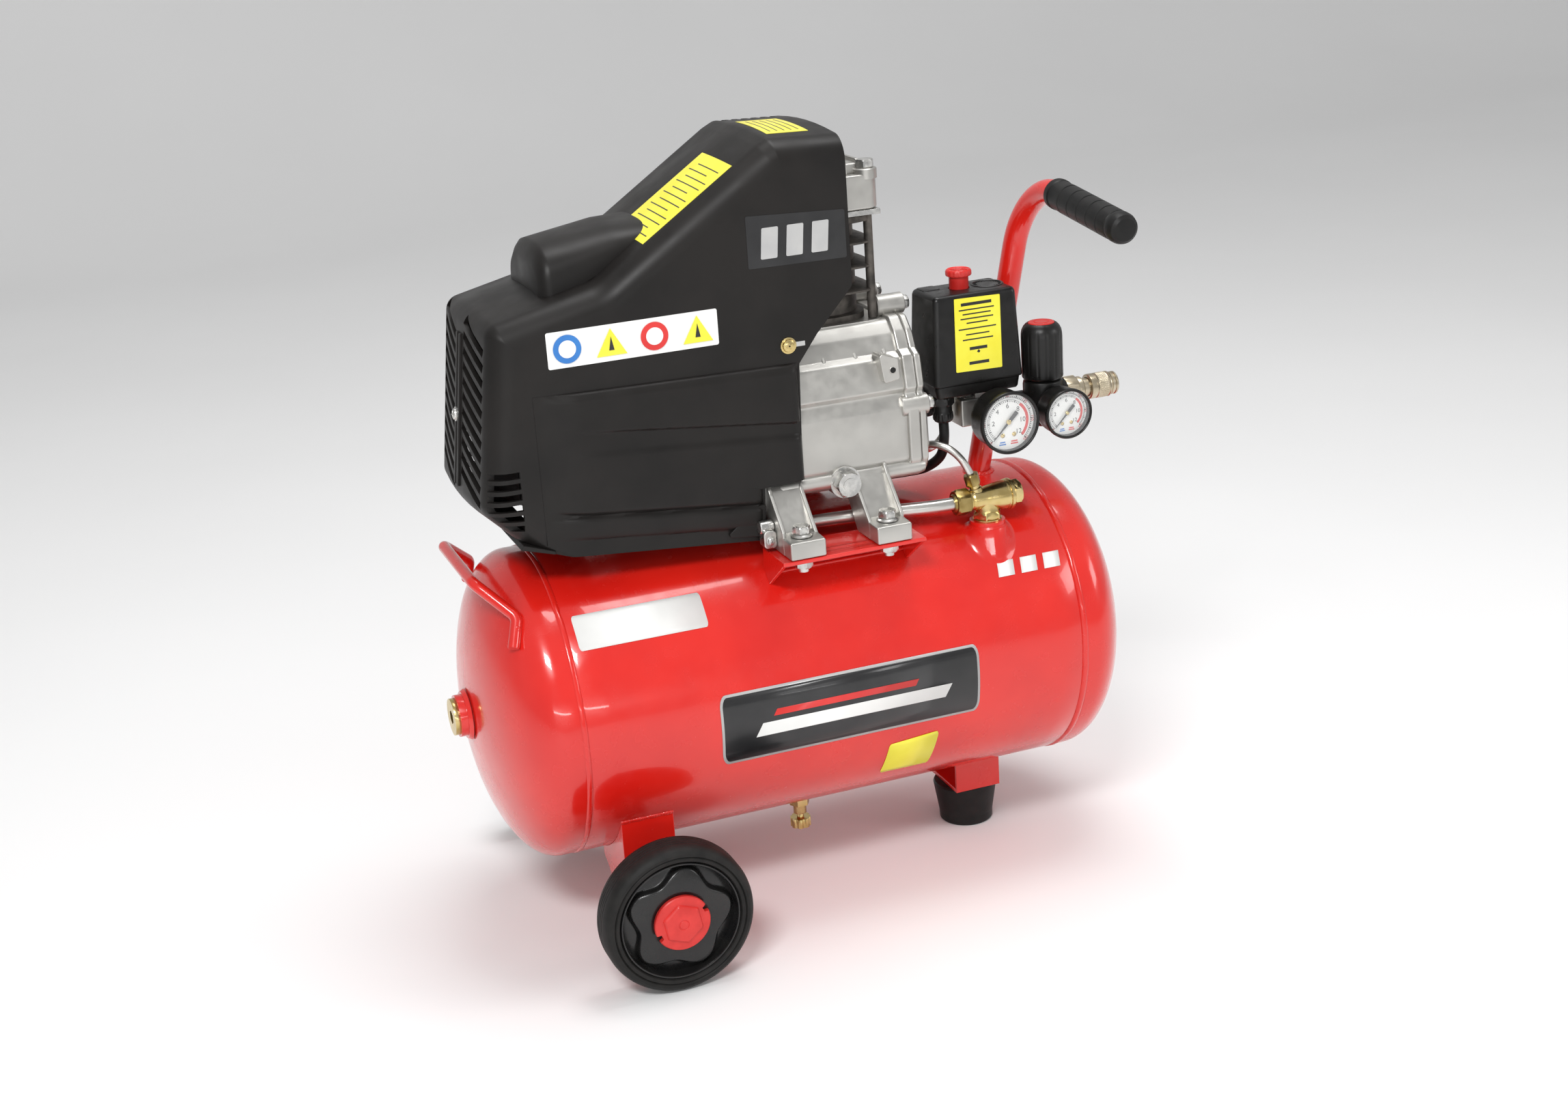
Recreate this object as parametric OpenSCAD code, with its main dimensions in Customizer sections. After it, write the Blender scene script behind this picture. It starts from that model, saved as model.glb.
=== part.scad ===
// Portable direct-drive air compressor: steel tank on two wheels and a rubber foot,
// shrouded motor and single-cylinder pump, pressure switch, regulator and outlet.
// Millimetres. +X runs along the tank towards the handle end, -Y is the gauge side,
// +Z is up. The origin is on the floor under the middle of the tank.

/* [Tank] */
// Outside radius of the tank
tank_r = 122.5; // [118:0.5:124]
// Height of the tank axis above the floor
tank_z = 185; // [184:1:187]
// Distance of each head seam from the middle
seam_x = 207; // [204:1:208]
// Depth of each domed head beyond its straight skirt
head_depth = 50; // [48:1:52]
// Wall thickness of shell and heads
wall = 2.5; // [2:0.5:4]

/* [Wheels and foot] */
// Outside radius of each tyre
wheel_r = 59; // [58:0.5:59.5]
// Tyre width
tyre_w = 32; // [28:1:34]
// Axle position along the tank
wheel_x = -161; // [-165:1:-155]
// Distance from the middle to the outer face of each tyre
track_half = 173.5; // [172:0.5:178]
// Rubber foot position along the tank
foot_x = 152; // [145:1:155]

/* [Pump and motor] */
// Height of the motor and crank axis
shaft_z = 402; // [400:1:404]
// Position of the cylinder along the tank
cyl_x0 = 44; // [43:1:45]
// Cylinder bore radius
bore_r = 23.5; // [22:0.5:24]
// Crank throw, half of the stroke
throw = 18; // [16:1:18]
// Half width of the upper shroud
shroud_half = 75; // [74:1:76]

/* [Air fittings] */
// Radius of the delivery pipe
pipe_r = 5; // [4:0.5:5]
// Outside radius of the tank gauge
gauge_r = 25; // [22:0.5:25]
// Outside radius of the outlet gauge
small_gauge_r = 20; // [18:0.5:20]
// Travel of the pressure switch knob
knob_travel = 6; // [3:0.5:6]

/* [Hidden] */
$fn = 64;

red = "#d81f26";
black = "#1c1a1b";
cast = "#b8b6b0";
brass_c = "#c9a84a";
steel_c = "#a8a9ab";

// Tank
skirt = 11;
head_x = seam_x + skirt;
apex_x = head_x + head_depth;
valve_x = 147;
valve_y = -75;
valve_z = 309.5;
valve_boss_top = 292;
drain_x = 0;

// Handle post: leans towards +X, then bends over towards -Y
post_x = 172;
post_z = 290;
post_lean = 12.3;
post_len = 204;
tube_r = 9.5;
bend_r = 50;
bend_angle = 96;
grip_r = 12;
grip_len = 107;
grip_gap = 2;

// Brackets for the pump feet
shelf_z = 302;
shelf_y0 = 76;
shelf_y1 = 118;
shelf_x0 = -42;
shelf_x1 = 75;
sheet = 3;
foot_xs = [-21, 49.5];
foot_w = 28.5;
foot_bolt_y = 104;
foot_top = 317;

// Wheels
axle_r = 6;
tyre_y1 = track_half;
tyre_y0 = track_half - tyre_w;
rim_r = 45;
hub_in = 103;
strut_y = 100;

// Crankcase and cylinder
case_r = 64;
case_x0 = -24;
case_x1 = 94;
case_bottom = 338;
deck_z = 456;
bell_x = -55;
bell_r = 62;
cover_x1 = 106;
rib_y = 66;
rib_z = 344;
plug_x = 29;
cyl_top = 538;
plate_t = 4;
head_half = 40;
head_top = 580;
cover_bolts = [[27, 464], [66, 392], [40, 345]];
rod_len = 96.5;
rod_x0 = 34.5;
rod_x1 = 53.5;
pin_z = shaft_z - throw;
wrist_z = pin_z + rod_len;

// Motor
shaft_r = 8.5;
stator_r = 58;
stator_x0 = -135;
stator_x1 = -55;
bore_gap = 0.6;
rotor_r = 32;
end_x0 = -162;
fan_x0 = -208;
fan_x1 = -186;
fan_r = 58;

// Shroud outline, seen from the side, as [x, z]
shroud_t = 3;
bulge = 5;
bulge_z = 441;
shroud_outline = [
    [-39, 308], [-190, 322], [-228, 334], [-256, 362], [-239, 494], [-230, 503],
    [-150, 521], [-22, 606], [-12, 611], [43, 609], [43, 494], [13, 462],
    [-3, 441], [-6, 351], [-37, 351]
];
hump_x0 = -188;
hump_x1 = -98;
hump_r = 28;
hump_z = 516;

// Switch group
sw_x0 = 113;
sw_x1 = 189;
sw_y0 = -63;
sw_y1 = -13;
sw_z0 = 390;
sw_z1 = 400;
sw_z2 = 471;
knob_x = 148;
knob_y = -37;
block_lo = [141, -48, 361];
block_hi = [175, -26, 383];
gauge_x = 162.5;
gauge_z = 371.6;
gauge_y0 = -92;
gauge_y1 = -63;
reg_x = 211;
reg_y = -52;
reg_z0 = 354;
reg_z1 = 392;
reg_top = 438;
reg_r = 16.5;
small_z = 372.4;
small_y0 = -97;
small_y1 = -72;
coup_z = 378.5;
coup_x0 = 226;
coup_x1 = 275;
gland_pos = [[124, -50], [120, -25]];
gland_low = 370;
unload = [133.5, -30];

// Routes, as hand-set points
delivery_route = [
    [-1, -28, 560], [-9, -28, 560], [-20, -32, 550], [-33, -44, 512], [-40, -56, 470],
    [-42, -65, 430], [-42, -69, 398], [-42, -69.5, 356], [-42, -68, 330],
    [-38, -63.5, 314.5], [-24, -61, 311], [8, -60, 310.5], [60, -66, 310],
    [96, -73, 309.5], [112, -75, 309.5], [124, -75, 309.5]
];
unloader_route = [
    [134, -74, 331], [128, -72, 343], [121, -66, 351], [114, -58, 354],
    [110.5, -48, 352], [112, -38, 347], [119, -30, 343], [128, -28, 346],
    [133, -29.5, 354], [133.5, -30, 366]
];
lead_route = [
    [124, -50, 370], [124, -50, 356], [123, -44, 340], [116, -30, 328],
    [104, -16, 322.5], [86, -10, 321], [30, -8, 321], [-20, -8, 322],
    [-38, -8, 327], [-43, -8, 339.8]
];
lead_r = 4;
unloader_r = 3;

// Helpers
module cyl_x(x0, x1, r, y = 0, z = 0) {
    translate([x0, y, z]) rotate([0, 90, 0]) cylinder(h = x1 - x0, r = r);
}
module cyl_y(y0, y1, r, x = 0, z = 0) {
    translate([x, y0, z]) rotate([-90, 0, 0]) cylinder(h = y1 - y0, r = r);
}
module cyl_z(z0, z1, r, x = 0, y = 0) {
    translate([x, y, z0]) cylinder(h = z1 - z0, r = r);
}
module block(lo, hi) {
    translate(lo) cube(hi - lo);
}
module hex_x(x0, x1, across, y, z) {
    translate([x0, y, z]) rotate([0, 90, 0])
        cylinder(h = x1 - x0, r = across / sqrt(3), $fn = 6);
}
module hex_y(y0, y1, across, x, z) {
    translate([x, y0, z]) rotate([-90, 0, 0])
        cylinder(h = y1 - y0, r = across / sqrt(3), $fn = 6);
}
module hex_z(z0, z1, across, x, y) {
    translate([x, y, z0]) cylinder(h = z1 - z0, r = across / sqrt(3), $fn = 6);
}
// Extrudes a [x, z] outline between two values of y
module slab_y(y0, y1) {
    translate([0, y1, 0]) rotate([90, 0, 0]) linear_extrude(y1 - y0) children();
}
// Extrudes a [y, z] outline between two values of x
module slab_x(x0, x1) {
    translate([x0, 0, 0]) rotate([90, 0, 90]) linear_extrude(x1 - x0) children();
}
module both_sides() {
    children();
    mirror([0, 1, 0]) children();
}
module bar(a, b, r) {
    d = b - a;
    len_ab = norm(d);
    translate(a) rotate([0, acos(d.z / len_ab), atan2(d.y, d.x)])
        cylinder(h = len_ab, r = r);
}

// A tube swept along a smoothed route
function spline(a, b, c, d, t) =
    0.5 * (2 * b + (c - a) * t + (2 * a - 5 * b + 4 * c - d) * t * t
        + (3 * b - a - 3 * c + d) * t * t * t);
function smooth(p, n) = [
    for (i = [0 : len(p) - 2]) for (k = [0 : n - 1])
        spline(p[max(i - 1, 0)], p[i], p[i + 1], p[min(i + 2, len(p) - 1)], k / n),
    p[len(p) - 1]
];
function unit(v) = v / norm(v);
function heading(p, i) = unit(p[min(i + 1, len(p) - 1)] - p[max(i - 1, 0)]);
function ring(p, t, r, n, side) = let(u = unit(cross(t, side)), v = cross(u, t))
    [for (k = [0 : n - 1]) p + r * (cos(360 * k / n) * u + sin(360 * k / n) * v)];
module swept_tube(route, r, sides, side, steps = 4) {
    p = smooth(route, steps);
    m = len(p);
    pts = [for (i = [0 : m - 1]) each ring(p[i], heading(p, i), r, sides, side)];
    walls = [
        for (i = [0 : m - 2]) for (k = [0 : sides - 1])
            let(j = (k + 1) % sides)
            [i * sides + k, i * sides + j, (i + 1) * sides + j, (i + 1) * sides + k]
    ];
    start = [for (k = [sides - 1 : -1 : 0]) k];
    finish = [for (k = [0 : sides - 1]) (m - 1) * sides + k];
    polyhedron(points = pts, faces = concat(walls, [start, finish]));
}

// Tank ---------------------------------------------------------------
module tank_core(r) {
    cyl_x(-head_x, head_x, r, 0, tank_z);
}
module tank_shell() {
    color(red) difference() {
        cyl_x(-seam_x, seam_x, tank_r, 0, tank_z);
        cyl_x(-seam_x - 1, seam_x + 1, tank_r - wall, 0, tank_z);
        cyl_z(tank_z, valve_boss_top, 9, valve_x, valve_y);
        cyl_z(tank_z - tank_r - 5, tank_z, 6, drain_x, 0);
    }
}
function dome(r, depth, base) = [
    for (i = [0 : 12]) [r * cos(i * 7.5), base + depth * sin(i * 7.5)]
];
module head_blank(r, depth) {
    rotate_extrude($fn = 96) polygon(concat([[0, 0]], [[r, 0]], dome(r, depth, skirt)));
}
module tank_head() {
    translate([seam_x, 0, tank_z]) rotate([0, 90, 0]) difference() {
        head_blank(tank_r, head_depth);
        translate([0, 0, -0.01]) head_blank(tank_r - wall, head_depth - wall);
    }
}
module tank_heads() {
    color(red) {
        tank_head();
        difference() {
            mirror([1, 0, 0]) tank_head();
            cyl_x(-apex_x - 5, -apex_x + 10, 16.5, 0, tank_z);
        }
    }
}
module tank_bosses() {
    color(red) {
        difference() {
            union() {
                cyl_x(-apex_x - 9, -apex_x + 8, 16.5, 0, tank_z);
                translate([-apex_x - 3.5, 0, tank_z]) rotate([0, 90, 0])
                    cylinder(h = 3, r1 = 18.5, r2 = 20.5);
            }
            cyl_x(-apex_x - 10, -apex_x + 9, 11, 0, tank_z);
            translate([-seam_x, 0, tank_z]) rotate([0, -90, 0]) difference() {
                head_blank(tank_r, head_depth);
                cylinder(h = 100, r = 16.5);
            }
        }
        difference() {
            union() {
                cyl_z(262, valve_boss_top, 14, valve_x, valve_y);
                translate([valve_x, valve_y, 262]) cylinder(h = 25, r1 = 21, r2 = 15);
            }
            cyl_z(200, valve_boss_top + 1, 9, valve_x, valve_y);
            tank_core(tank_r);
        }
        difference() {
            cyl_z(tank_z - tank_r - 7, tank_z - tank_r + 3, 13, drain_x, 0);
            cyl_z(tank_z - tank_r - 8, tank_z - tank_r + 4, 6, drain_x, 0);
            tank_core(tank_r);
        }
    }
}
module inspection_plug() {
    color(brass_c) difference() {
        union() {
            cyl_x(-apex_x - 13, -apex_x - 9, 14.5, 0, tank_z);
            cyl_x(-apex_x - 9, -apex_x + 6, 11, 0, tank_z);
        }
        hex_x(-apex_x - 14, -apex_x - 5, 10, 0, tank_z);
    }
}
module drain_cock_body() {
    z1 = tank_z - tank_r;
    color(brass_c) difference() {
        union() {
            cyl_z(z1 - 7, z1 + 2, 6, drain_x, 0);
            hex_z(z1 - 16, z1 - 7, 15, drain_x, 0);
            cyl_z(z1 - 24, z1 - 16, 5.5, drain_x, 0);
        }
        cyl_z(z1 - 25, z1 - 8, 3.06, drain_x, 0);
    }
}
module drain_cock_screw() {
    z1 = tank_z - tank_r;
    color(brass_c) union() {
        cyl_z(z1 - 28, z1 - 12, 3, drain_x, 0);
        difference() {
            cyl_z(z1 - 36, z1 - 28, 8.5, drain_x, 0);
            for (a = [0 : 45 : 315]) translate([drain_x, 0, z1 - 37]) rotate(a)
                translate([9.5, 0, 0]) cylinder(h = 10, r = 2);
        }
    }
}
// An angle on each side of the tank: a level shelf, an upright web and end gussets
module pump_brackets() {
    color(red) both_sides() difference() {
        union() {
            block([shelf_x0, -shelf_y1, shelf_z - sheet], [shelf_x1, -shelf_y0 + sheet, shelf_z]);
            block([shelf_x0, -shelf_y0, 250], [shelf_x1, -shelf_y0 + sheet, shelf_z - sheet]);
            for (x = [shelf_x0, shelf_x1 - sheet]) slab_x(x, x + sheet)
                polygon([[-shelf_y1 + 1, shelf_z - sheet], [-shelf_y0, shelf_z - sheet],
                    [-shelf_y0, 270]]);
        }
        tank_core(tank_r);
        for (x = foot_xs) cyl_z(shelf_z - 10, shelf_z + 1, 4.5, x, -foot_bolt_y);
    }
}
// Handle -------------------------------------------------------------
module on_handle() {
    translate([post_x, 0, post_z]) rotate([0, post_lean, 0]) children();
}
// Places children at the end of the bend, with +Z along the grip
module on_grip() {
    on_handle() translate([0, -bend_r, post_len]) rotate([bend_angle, 0, 0])
        translate([0, bend_r, 0]) children();
}
// The bend is a hair thinner than the straights, which keeps their joints clean
module handle_tube() {
    color(red) {
        difference() {
            on_handle() cylinder(h = post_len, r = tube_r);
            on_handle() translate([0, 0, -1]) cylinder(h = post_len - 10, r = tube_r - 1.5);
            tank_core(tank_r);
        }
        on_handle() translate([0, -bend_r, post_len]) rotate([90, 0, 90])
            rotate_extrude(angle = bend_angle) translate([bend_r, 0]) circle(r = tube_r - 0.05);
        on_grip() cylinder(h = grip_len, r = tube_r);
    }
}
module handle_grip() {
    color(black) on_grip() difference() {
        union() {
            translate([0, 0, grip_gap]) cylinder(h = grip_len - grip_gap + 2, r = grip_r);
            translate([0, 0, grip_len + 2]) cylinder(h = 4, r1 = grip_r, r2 = grip_r - 4);
        }
        cylinder(h = grip_len, r = tube_r);
        for (i = [1 : 5]) translate([0, 0, grip_gap + i * 16]) difference() {
            cylinder(h = 1.2, r = grip_r + 1);
            cylinder(h = 1.2, r = grip_r - 1);
        }
    }
}
module tow_bail() {
    r = 4.5;
    path = [
        [-244, -80, 262], [-236, -67, 281], [-260, -42, 304], [-260, 62, 304],
        [-236, 84, 280], [-238, 92, 262]
    ];
    color(red) difference() {
        union() {
            for (i = [0 : len(path) - 2]) bar(path[i], path[i + 1], r);
            for (i = [1 : len(path) - 2]) translate(path[i]) sphere(r = r + 0.02);
        }
        translate([-seam_x, 0, tank_z]) rotate([0, -90, 0]) head_blank(tank_r, head_depth);
    }
}
// Wheels and foot ----------------------------------------------------
module wheel_brackets() {
    x0 = wheel_x - 20;
    x1 = wheel_x + 22;
    color(red) both_sides() difference() {
        union() {
            block([x0, -strut_y, 42], [x1, -strut_y + sheet, 125]);
            for (x = [x0, x1 - sheet]) slab_x(x, x + sheet)
                polygon([[-strut_y + sheet, 42], [-strut_y + sheet, 125], [-40, 125],
                    [-40, 62], [-70, 42]]);
        }
        tank_core(tank_r);
        cyl_y(-strut_y - 1, -strut_y + 4, axle_r, wheel_x, wheel_r);
    }
}
module chassis_bolts() {
    color(steel_c) {
        both_sides() {
            cyl_y(-tyre_y1 + 10, -strut_y + 16, axle_r, wheel_x, wheel_r);
            hex_y(-tyre_y1 + 3, -tyre_y1 + 10, 17, wheel_x, wheel_r);
            difference() {
                hex_y(-strut_y + sheet, -strut_y + 12, 19, wheel_x, wheel_r);
                cyl_y(-strut_y, -strut_y + 13, axle_r, wheel_x, wheel_r);
            }
        }
        cyl_z(8, 45, 4, foot_x, 0);
        cyl_z(4, 8, 9, foot_x, 0);
        difference() {
            hex_z(39, 45, 13, foot_x, 0);
            cyl_z(38, 46, 4, foot_x, 0);
        }
    }
}
module tyre() {
    color(black) translate([wheel_x, -tyre_y1, wheel_r]) rotate([-90, 0, 0])
        rotate_extrude($fn = 96) polygon([
            [rim_r, 2], [wheel_r - 6, 0], [wheel_r - 2, 2.5], [wheel_r, 8],
            [wheel_r, tyre_w - 8], [wheel_r - 2, tyre_w - 2.5], [wheel_r - 6, tyre_w],
            [rim_r, tyre_w - 2]
        ]);
}
module hub() {
    color(black) difference() {
        union() {
            difference() {
                cyl_y(-tyre_y1 + 2, -tyre_y0 - 2, rim_r, wheel_x, wheel_r);
                cyl_y(-tyre_y1 + 1, -tyre_y1 + 9, rim_r - 3.5, wheel_x, wheel_r);
                cyl_y(-tyre_y0 - 14, -tyre_y0, rim_r - 3.5, wheel_x, wheel_r);
            }
            cyl_y(-tyre_y1 + 2, -hub_in, 15, wheel_x, wheel_r);
            cyl_y(-tyre_y1 + 1, -tyre_y1 + 9, 24, wheel_x, wheel_r);
        }
        cyl_y(-tyre_y1 - 1, -tyre_y1 + 10.3, 12, wheel_x, wheel_r);
        cyl_y(-tyre_y1, -hub_in + 1, axle_r + 0.08, wheel_x, wheel_r);
        for (a = [0 : 60 : 300]) translate([wheel_x, -tyre_y1 - 1, wheel_r])
            rotate([-90, 0, 0]) rotate(a + 30) translate([33, 0, 0])
            cylinder(h = tyre_w + 2, r = 4);
    }
}
module cap() {
    y0 = -tyre_y1 + 1;
    color(red) difference() {
        union() {
            cyl_y(y0 - 3, y0, 21.5, wheel_x, wheel_r);
            hex_y(y0 - 5.5, y0 - 3, 27, wheel_x, wheel_r);
        }
        for (a = [0, 180]) translate([wheel_x, y0 - 4, wheel_r]) rotate([-90, 0, 0])
            rotate(a + 20) translate([21.5, 0, 0]) cylinder(h = 5, r = 2.5);
    }
}
module tyre_front() { tyre(); }
module hub_front() { hub(); }
module cap_front() { cap(); }
module tyre_rear() { mirror([0, 1, 0]) tyre(); }
module hub_rear() { mirror([0, 1, 0]) hub(); }
module cap_rear() { mirror([0, 1, 0]) cap(); }
module foot_bracket() {
    x0 = foot_x - 20;
    x1 = foot_x + 20;
    color(red) difference() {
        block([x0, -27, 36], [x1, 27, 80]);
        block([x0 - 1, -24, 39], [x1 + 1, 24, 81]);
        tank_core(tank_r);
        cyl_z(35, 40, 4, foot_x, 0);
    }
}
module rubber_foot() {
    color(black) difference() {
        translate([foot_x, 0, 0]) cylinder(h = 36, r1 = 22.5, r2 = 27);
        cyl_z(-1, 8, 10, foot_x, 0);
        cyl_z(-1, 37, 4, foot_x, 0);
    }
}
// Pump ---------------------------------------------------------------
module foot_pattern() {
    for (x = foot_xs) for (s = [-1, 1]) translate([x, s * foot_bolt_y, 0]) children();
}
module crankcase() {
    color(cast) difference() {
        union() {
            cyl_x(case_x0, case_x1, case_r, 0, shaft_z);
            cyl_x(bell_x, case_x0, bell_r, 0, shaft_z);
            block([4, -40, shaft_z], [84, 40, deck_z]);
            block([-20, -58, case_bottom], [case_x1, 58, shaft_z]);
            both_sides() {
                cyl_x(-22, case_x1, 7.3, -rib_y, rib_z);
                for (x = foot_xs) slab_x(x - foot_w / 2, x + foot_w / 2)
                    polygon([[-56, 372], [-66, 360], [-90, foot_top], [-shelf_y1, foot_top],
                        [-shelf_y1, shelf_z], [-86, shelf_z], [-56, case_bottom]]);
                for (b = cover_bolts) cyl_x(case_x1 - 13, case_x1, 9, -b[0], b[1]);
                block([-17, 3 - shroud_half, 450], [-5, -20, 462]);
            }
            block([62, -72, 414], [80, -50, 434]);
            cyl_y(-74, -50, 12, plug_x, rib_z - 2);
        }
        cyl_x(-16, case_x1 + 1, 50, 0, shaft_z);
        cyl_x(bell_x - 1, case_x0 - 4, 56, 0, shaft_z);
        cyl_x(case_x0 - 5, -15, 17.5, 0, shaft_z);
        cyl_z(430, deck_z + 1, 27, cyl_x0, 0);
        block([case_x0, -46, deck_z], [case_x1 - 13, 46, deck_z + 30]);
        cyl_y(-75, -44, 6, plug_x, rib_z - 2);
        cyl_y(-95, -74, 13, plug_x, rib_z - 2);
        cyl_z(deck_z, deck_z + 30, 40.6, cyl_x0, 0);
        both_sides() {
            for (b = cover_bolts) cyl_x(case_x1 - 10, case_x1 + 1, 3, -b[0], b[1]);
            cyl_y(2 - shroud_half, 10 - shroud_half, 2, -11, 456);
        }
        foot_pattern() translate([0, 0, shelf_z - 1]) cylinder(h = 30, r = 4.5);
    }
}
module crankcase_cover() {
    color(cast) difference() {
        union() {
            cyl_x(case_x1, cover_x1 - 3, 60, 0, shaft_z);
            cyl_x(cover_x1 - 3, cover_x1, 52, 0, shaft_z);
            block([case_x1, -50, case_bottom + 2], [cover_x1 - 4, 50, shaft_z]);
            both_sides() for (b = cover_bolts) cyl_x(case_x1, cover_x1 - 3, 9, -b[0], b[1]);
        }
        cyl_x(case_x1 - 1, cover_x1 - 7, 46, 0, shaft_z);
        both_sides() for (b = cover_bolts) cyl_x(case_x1 - 1, cover_x1, 3, -b[0], b[1]);
    }
}
module pump_bolts() {
    color(steel_c) {
        both_sides() for (b = cover_bolts) {
            cyl_x(case_x1 - 10, cover_x1 - 3, 3, -b[0], b[1]);
            hex_x(cover_x1 - 3, cover_x1 + 2, 10, -b[0], b[1]);
        }
        for (sx = [-1, 1]) for (sy = [-1, 1]) {
            cyl_z(deck_z, head_top - 12, 3.5, cyl_x0 + sx * 32, sy * 32);
            hex_z(head_top - 12, head_top - 6, 13, cyl_x0 + sx * 32, sy * 32);
        }
    }
}
module pump_cylinder() {
    color("#5c5955") difference() {
        union() {
            cyl_z(deck_z - 8, deck_z, 27, cyl_x0, 0);
            cyl_z(deck_z, cyl_top, 30, cyl_x0, 0);
            for (i = [0 : 4]) cyl_z(deck_z + i * 19.6, deck_z + i * 19.6 + 3.6, 40, cyl_x0, 0);
        }
        cyl_z(deck_z - 9, cyl_top + 1, bore_r, cyl_x0, 0);
    }
}
module valve_plate() {
    color(steel_c) difference() {
        block([cyl_x0 - head_half, -head_half, cyl_top],
            [cyl_x0 + head_half, head_half, cyl_top + plate_t]);
        for (s = [-1, 1]) cyl_z(cyl_top - 1, cyl_top + 5, 5, cyl_x0, s * 12);
        stud_pattern() cylinder(h = 20, r = 3.5);
    }
}
module stud_pattern() {
    for (sx = [-1, 1]) for (sy = [-1, 1])
        translate([cyl_x0 + sx * 32, sy * 32, cyl_top - 2]) children();
}
module cylinder_head() {
    z0 = cyl_top + plate_t;
    color(cast) difference() {
        block([cyl_x0 - head_half, -head_half, z0], [cyl_x0 + head_half, head_half, head_top]);
        for (s = [-1, 1]) block([cyl_x0 - 24, s * 14 - 11, z0 - 1], [cyl_x0 + 24, s * 14 + 11, 566]);
        stud_pattern() cylinder(h = 50, r = 3.5);
        translate([0, 0, head_top - 10 - cyl_top]) stud_pattern() cylinder(h = 20, r = 11);
        for (i = [-2 : 2]) block([cyl_x0 + i * 8 - 2, -50, 571], [cyl_x0 + i * 8 + 2, 50, 590]);
        cyl_y(24, 41, 6, 60, 558);
    }
}
module piston() {
    r = bore_r - 0.06;
    color(steel_c) {
        difference() {
            cyl_z(wrist_z - 18, wrist_z + 20, r, cyl_x0, 0);
            cyl_z(wrist_z - 19, wrist_z + 13, 19, cyl_x0, 0);
            for (z = [15, 11]) translate([cyl_x0, 0, wrist_z + z]) difference() {
                cylinder(h = 1.6, r = r + 1);
                cylinder(h = 1.6, r = r - 1.5);
            }
            cyl_x(cyl_x0 - 22, cyl_x0 + 22, 6, 0, wrist_z);
        }
        cyl_x(cyl_x0 - 20, cyl_x0 + 20, 6, 0, wrist_z);
    }
}
module connecting_rod() {
    color(cast) difference() {
        union() {
            cyl_x(rod_x0, rod_x1, 10, 0, wrist_z);
            cyl_x(rod_x0, rod_x1, 15, 0, pin_z);
            block([rod_x0 + 4, -6, pin_z], [rod_x1 - 4, 6, wrist_z]);
        }
        cyl_x(rod_x0 - 1, rod_x1 + 1, 6, 0, wrist_z);
        cyl_x(rod_x0 - 1, rod_x0 + 8, 10.5, 0, pin_z);
    }
}
module crankshaft() {
    color(steel_c) {
        cyl_x(fan_x0 - 6, 20, shaft_r, 0, shaft_z);
        slab_x(20, 30) difference() {
            translate([0, shaft_z]) circle(r = 34);
            for (s = [-1, 1]) translate([s * 38, shaft_z - 22]) square([36, 60], center = true);
        }
        cyl_x(30, rod_x0 - 0.5, 8, 0, pin_z);
    }
}
module bearings() {
    color(steel_c) for (x = [case_x0 - 4, end_x0]) difference() {
        cyl_x(x, x + 12, 17.5, 0, shaft_z);
        cyl_x(x - 1, x + 13, shaft_r + 0.04, 0, shaft_z);
        for (g = [x, x + 10.5]) difference() {
            cyl_x(g, g + 1.5, 15.5, 0, shaft_z);
            cyl_x(g, g + 1.5, 11, 0, shaft_z);
        }
    }
}
module rotor() {
    color("#8d8a86") difference() {
        union() {
            cyl_x(stator_x0 + 2, stator_x1 - 2, rotor_r, 0, shaft_z);
            cyl_x(stator_x0 - 6, stator_x1 + 6, rotor_r - 5, 0, shaft_z);
        }
        cyl_x(stator_x0 - 7, stator_x1 + 7, shaft_r, 0, shaft_z);
    }
}
module cooling_fan() {
    color(black) difference() {
        union() {
            cyl_x(fan_x1 - 3, fan_x1, fan_r, 0, shaft_z);
            cyl_x(fan_x0, fan_x1, 15, 0, shaft_z);
            for (a = [0 : 45 : 315]) translate([0, 0, shaft_z]) rotate([a, 0, 0])
                block([fan_x0, -1.5, 13], [fan_x1, 1.5, fan_r - 1]);
        }
        cyl_x(fan_x0 - 1, fan_x1 + 1, shaft_r, 0, shaft_z);
    }
}
module stator() {
    color("#77736d") difference() {
        union() {
            cyl_x(stator_x0, stator_x1, stator_r, 0, shaft_z);
            cyl_x(stator_x0 - 12, stator_x1 + 12, 54, 0, shaft_z);
        }
        cyl_x(stator_x0 - 13, stator_x1 + 13, 37, 0, shaft_z);
    }
    color("#77736d") difference() {
        cyl_x(stator_x0, stator_x1, 37, 0, shaft_z);
        cyl_x(stator_x0 - 1, stator_x1 + 1, rotor_r + bore_gap, 0, shaft_z);
    }
}
module motor_end_bracket() {
    color(cast) difference() {
        union() {
            cyl_x(end_x0 + 4, stator_x0, 62, 0, shaft_z);
            cyl_x(end_x0, end_x0 + 5, 24, 0, shaft_z);
        }
        cyl_x(end_x0 + 9, stator_x0 + 1, 56, 0, shaft_z);
        cyl_x(end_x0 - 1, end_x0 + 14, 17.5, 0, shaft_z);
        for (a = [30 : 60 : 330]) translate([end_x0, 0, shaft_z]) rotate([a, 0, 0])
            translate([0, 40, 0]) rotate([0, 90, 0]) cylinder(h = 10, r = 9);
    }
}
module capacitor() {
    color("#d9d8d2") {
        cyl_x(hump_x0 + 8, -116, 20, 0, 514);
        difference() {
            block([-130, -9, 450], [-118, 9, 500]);
            cyl_x(-131, -117, stator_r, 0, shaft_z);
            cyl_x(-131, -117, 20, 0, 514);
        }
    }
}
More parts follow.
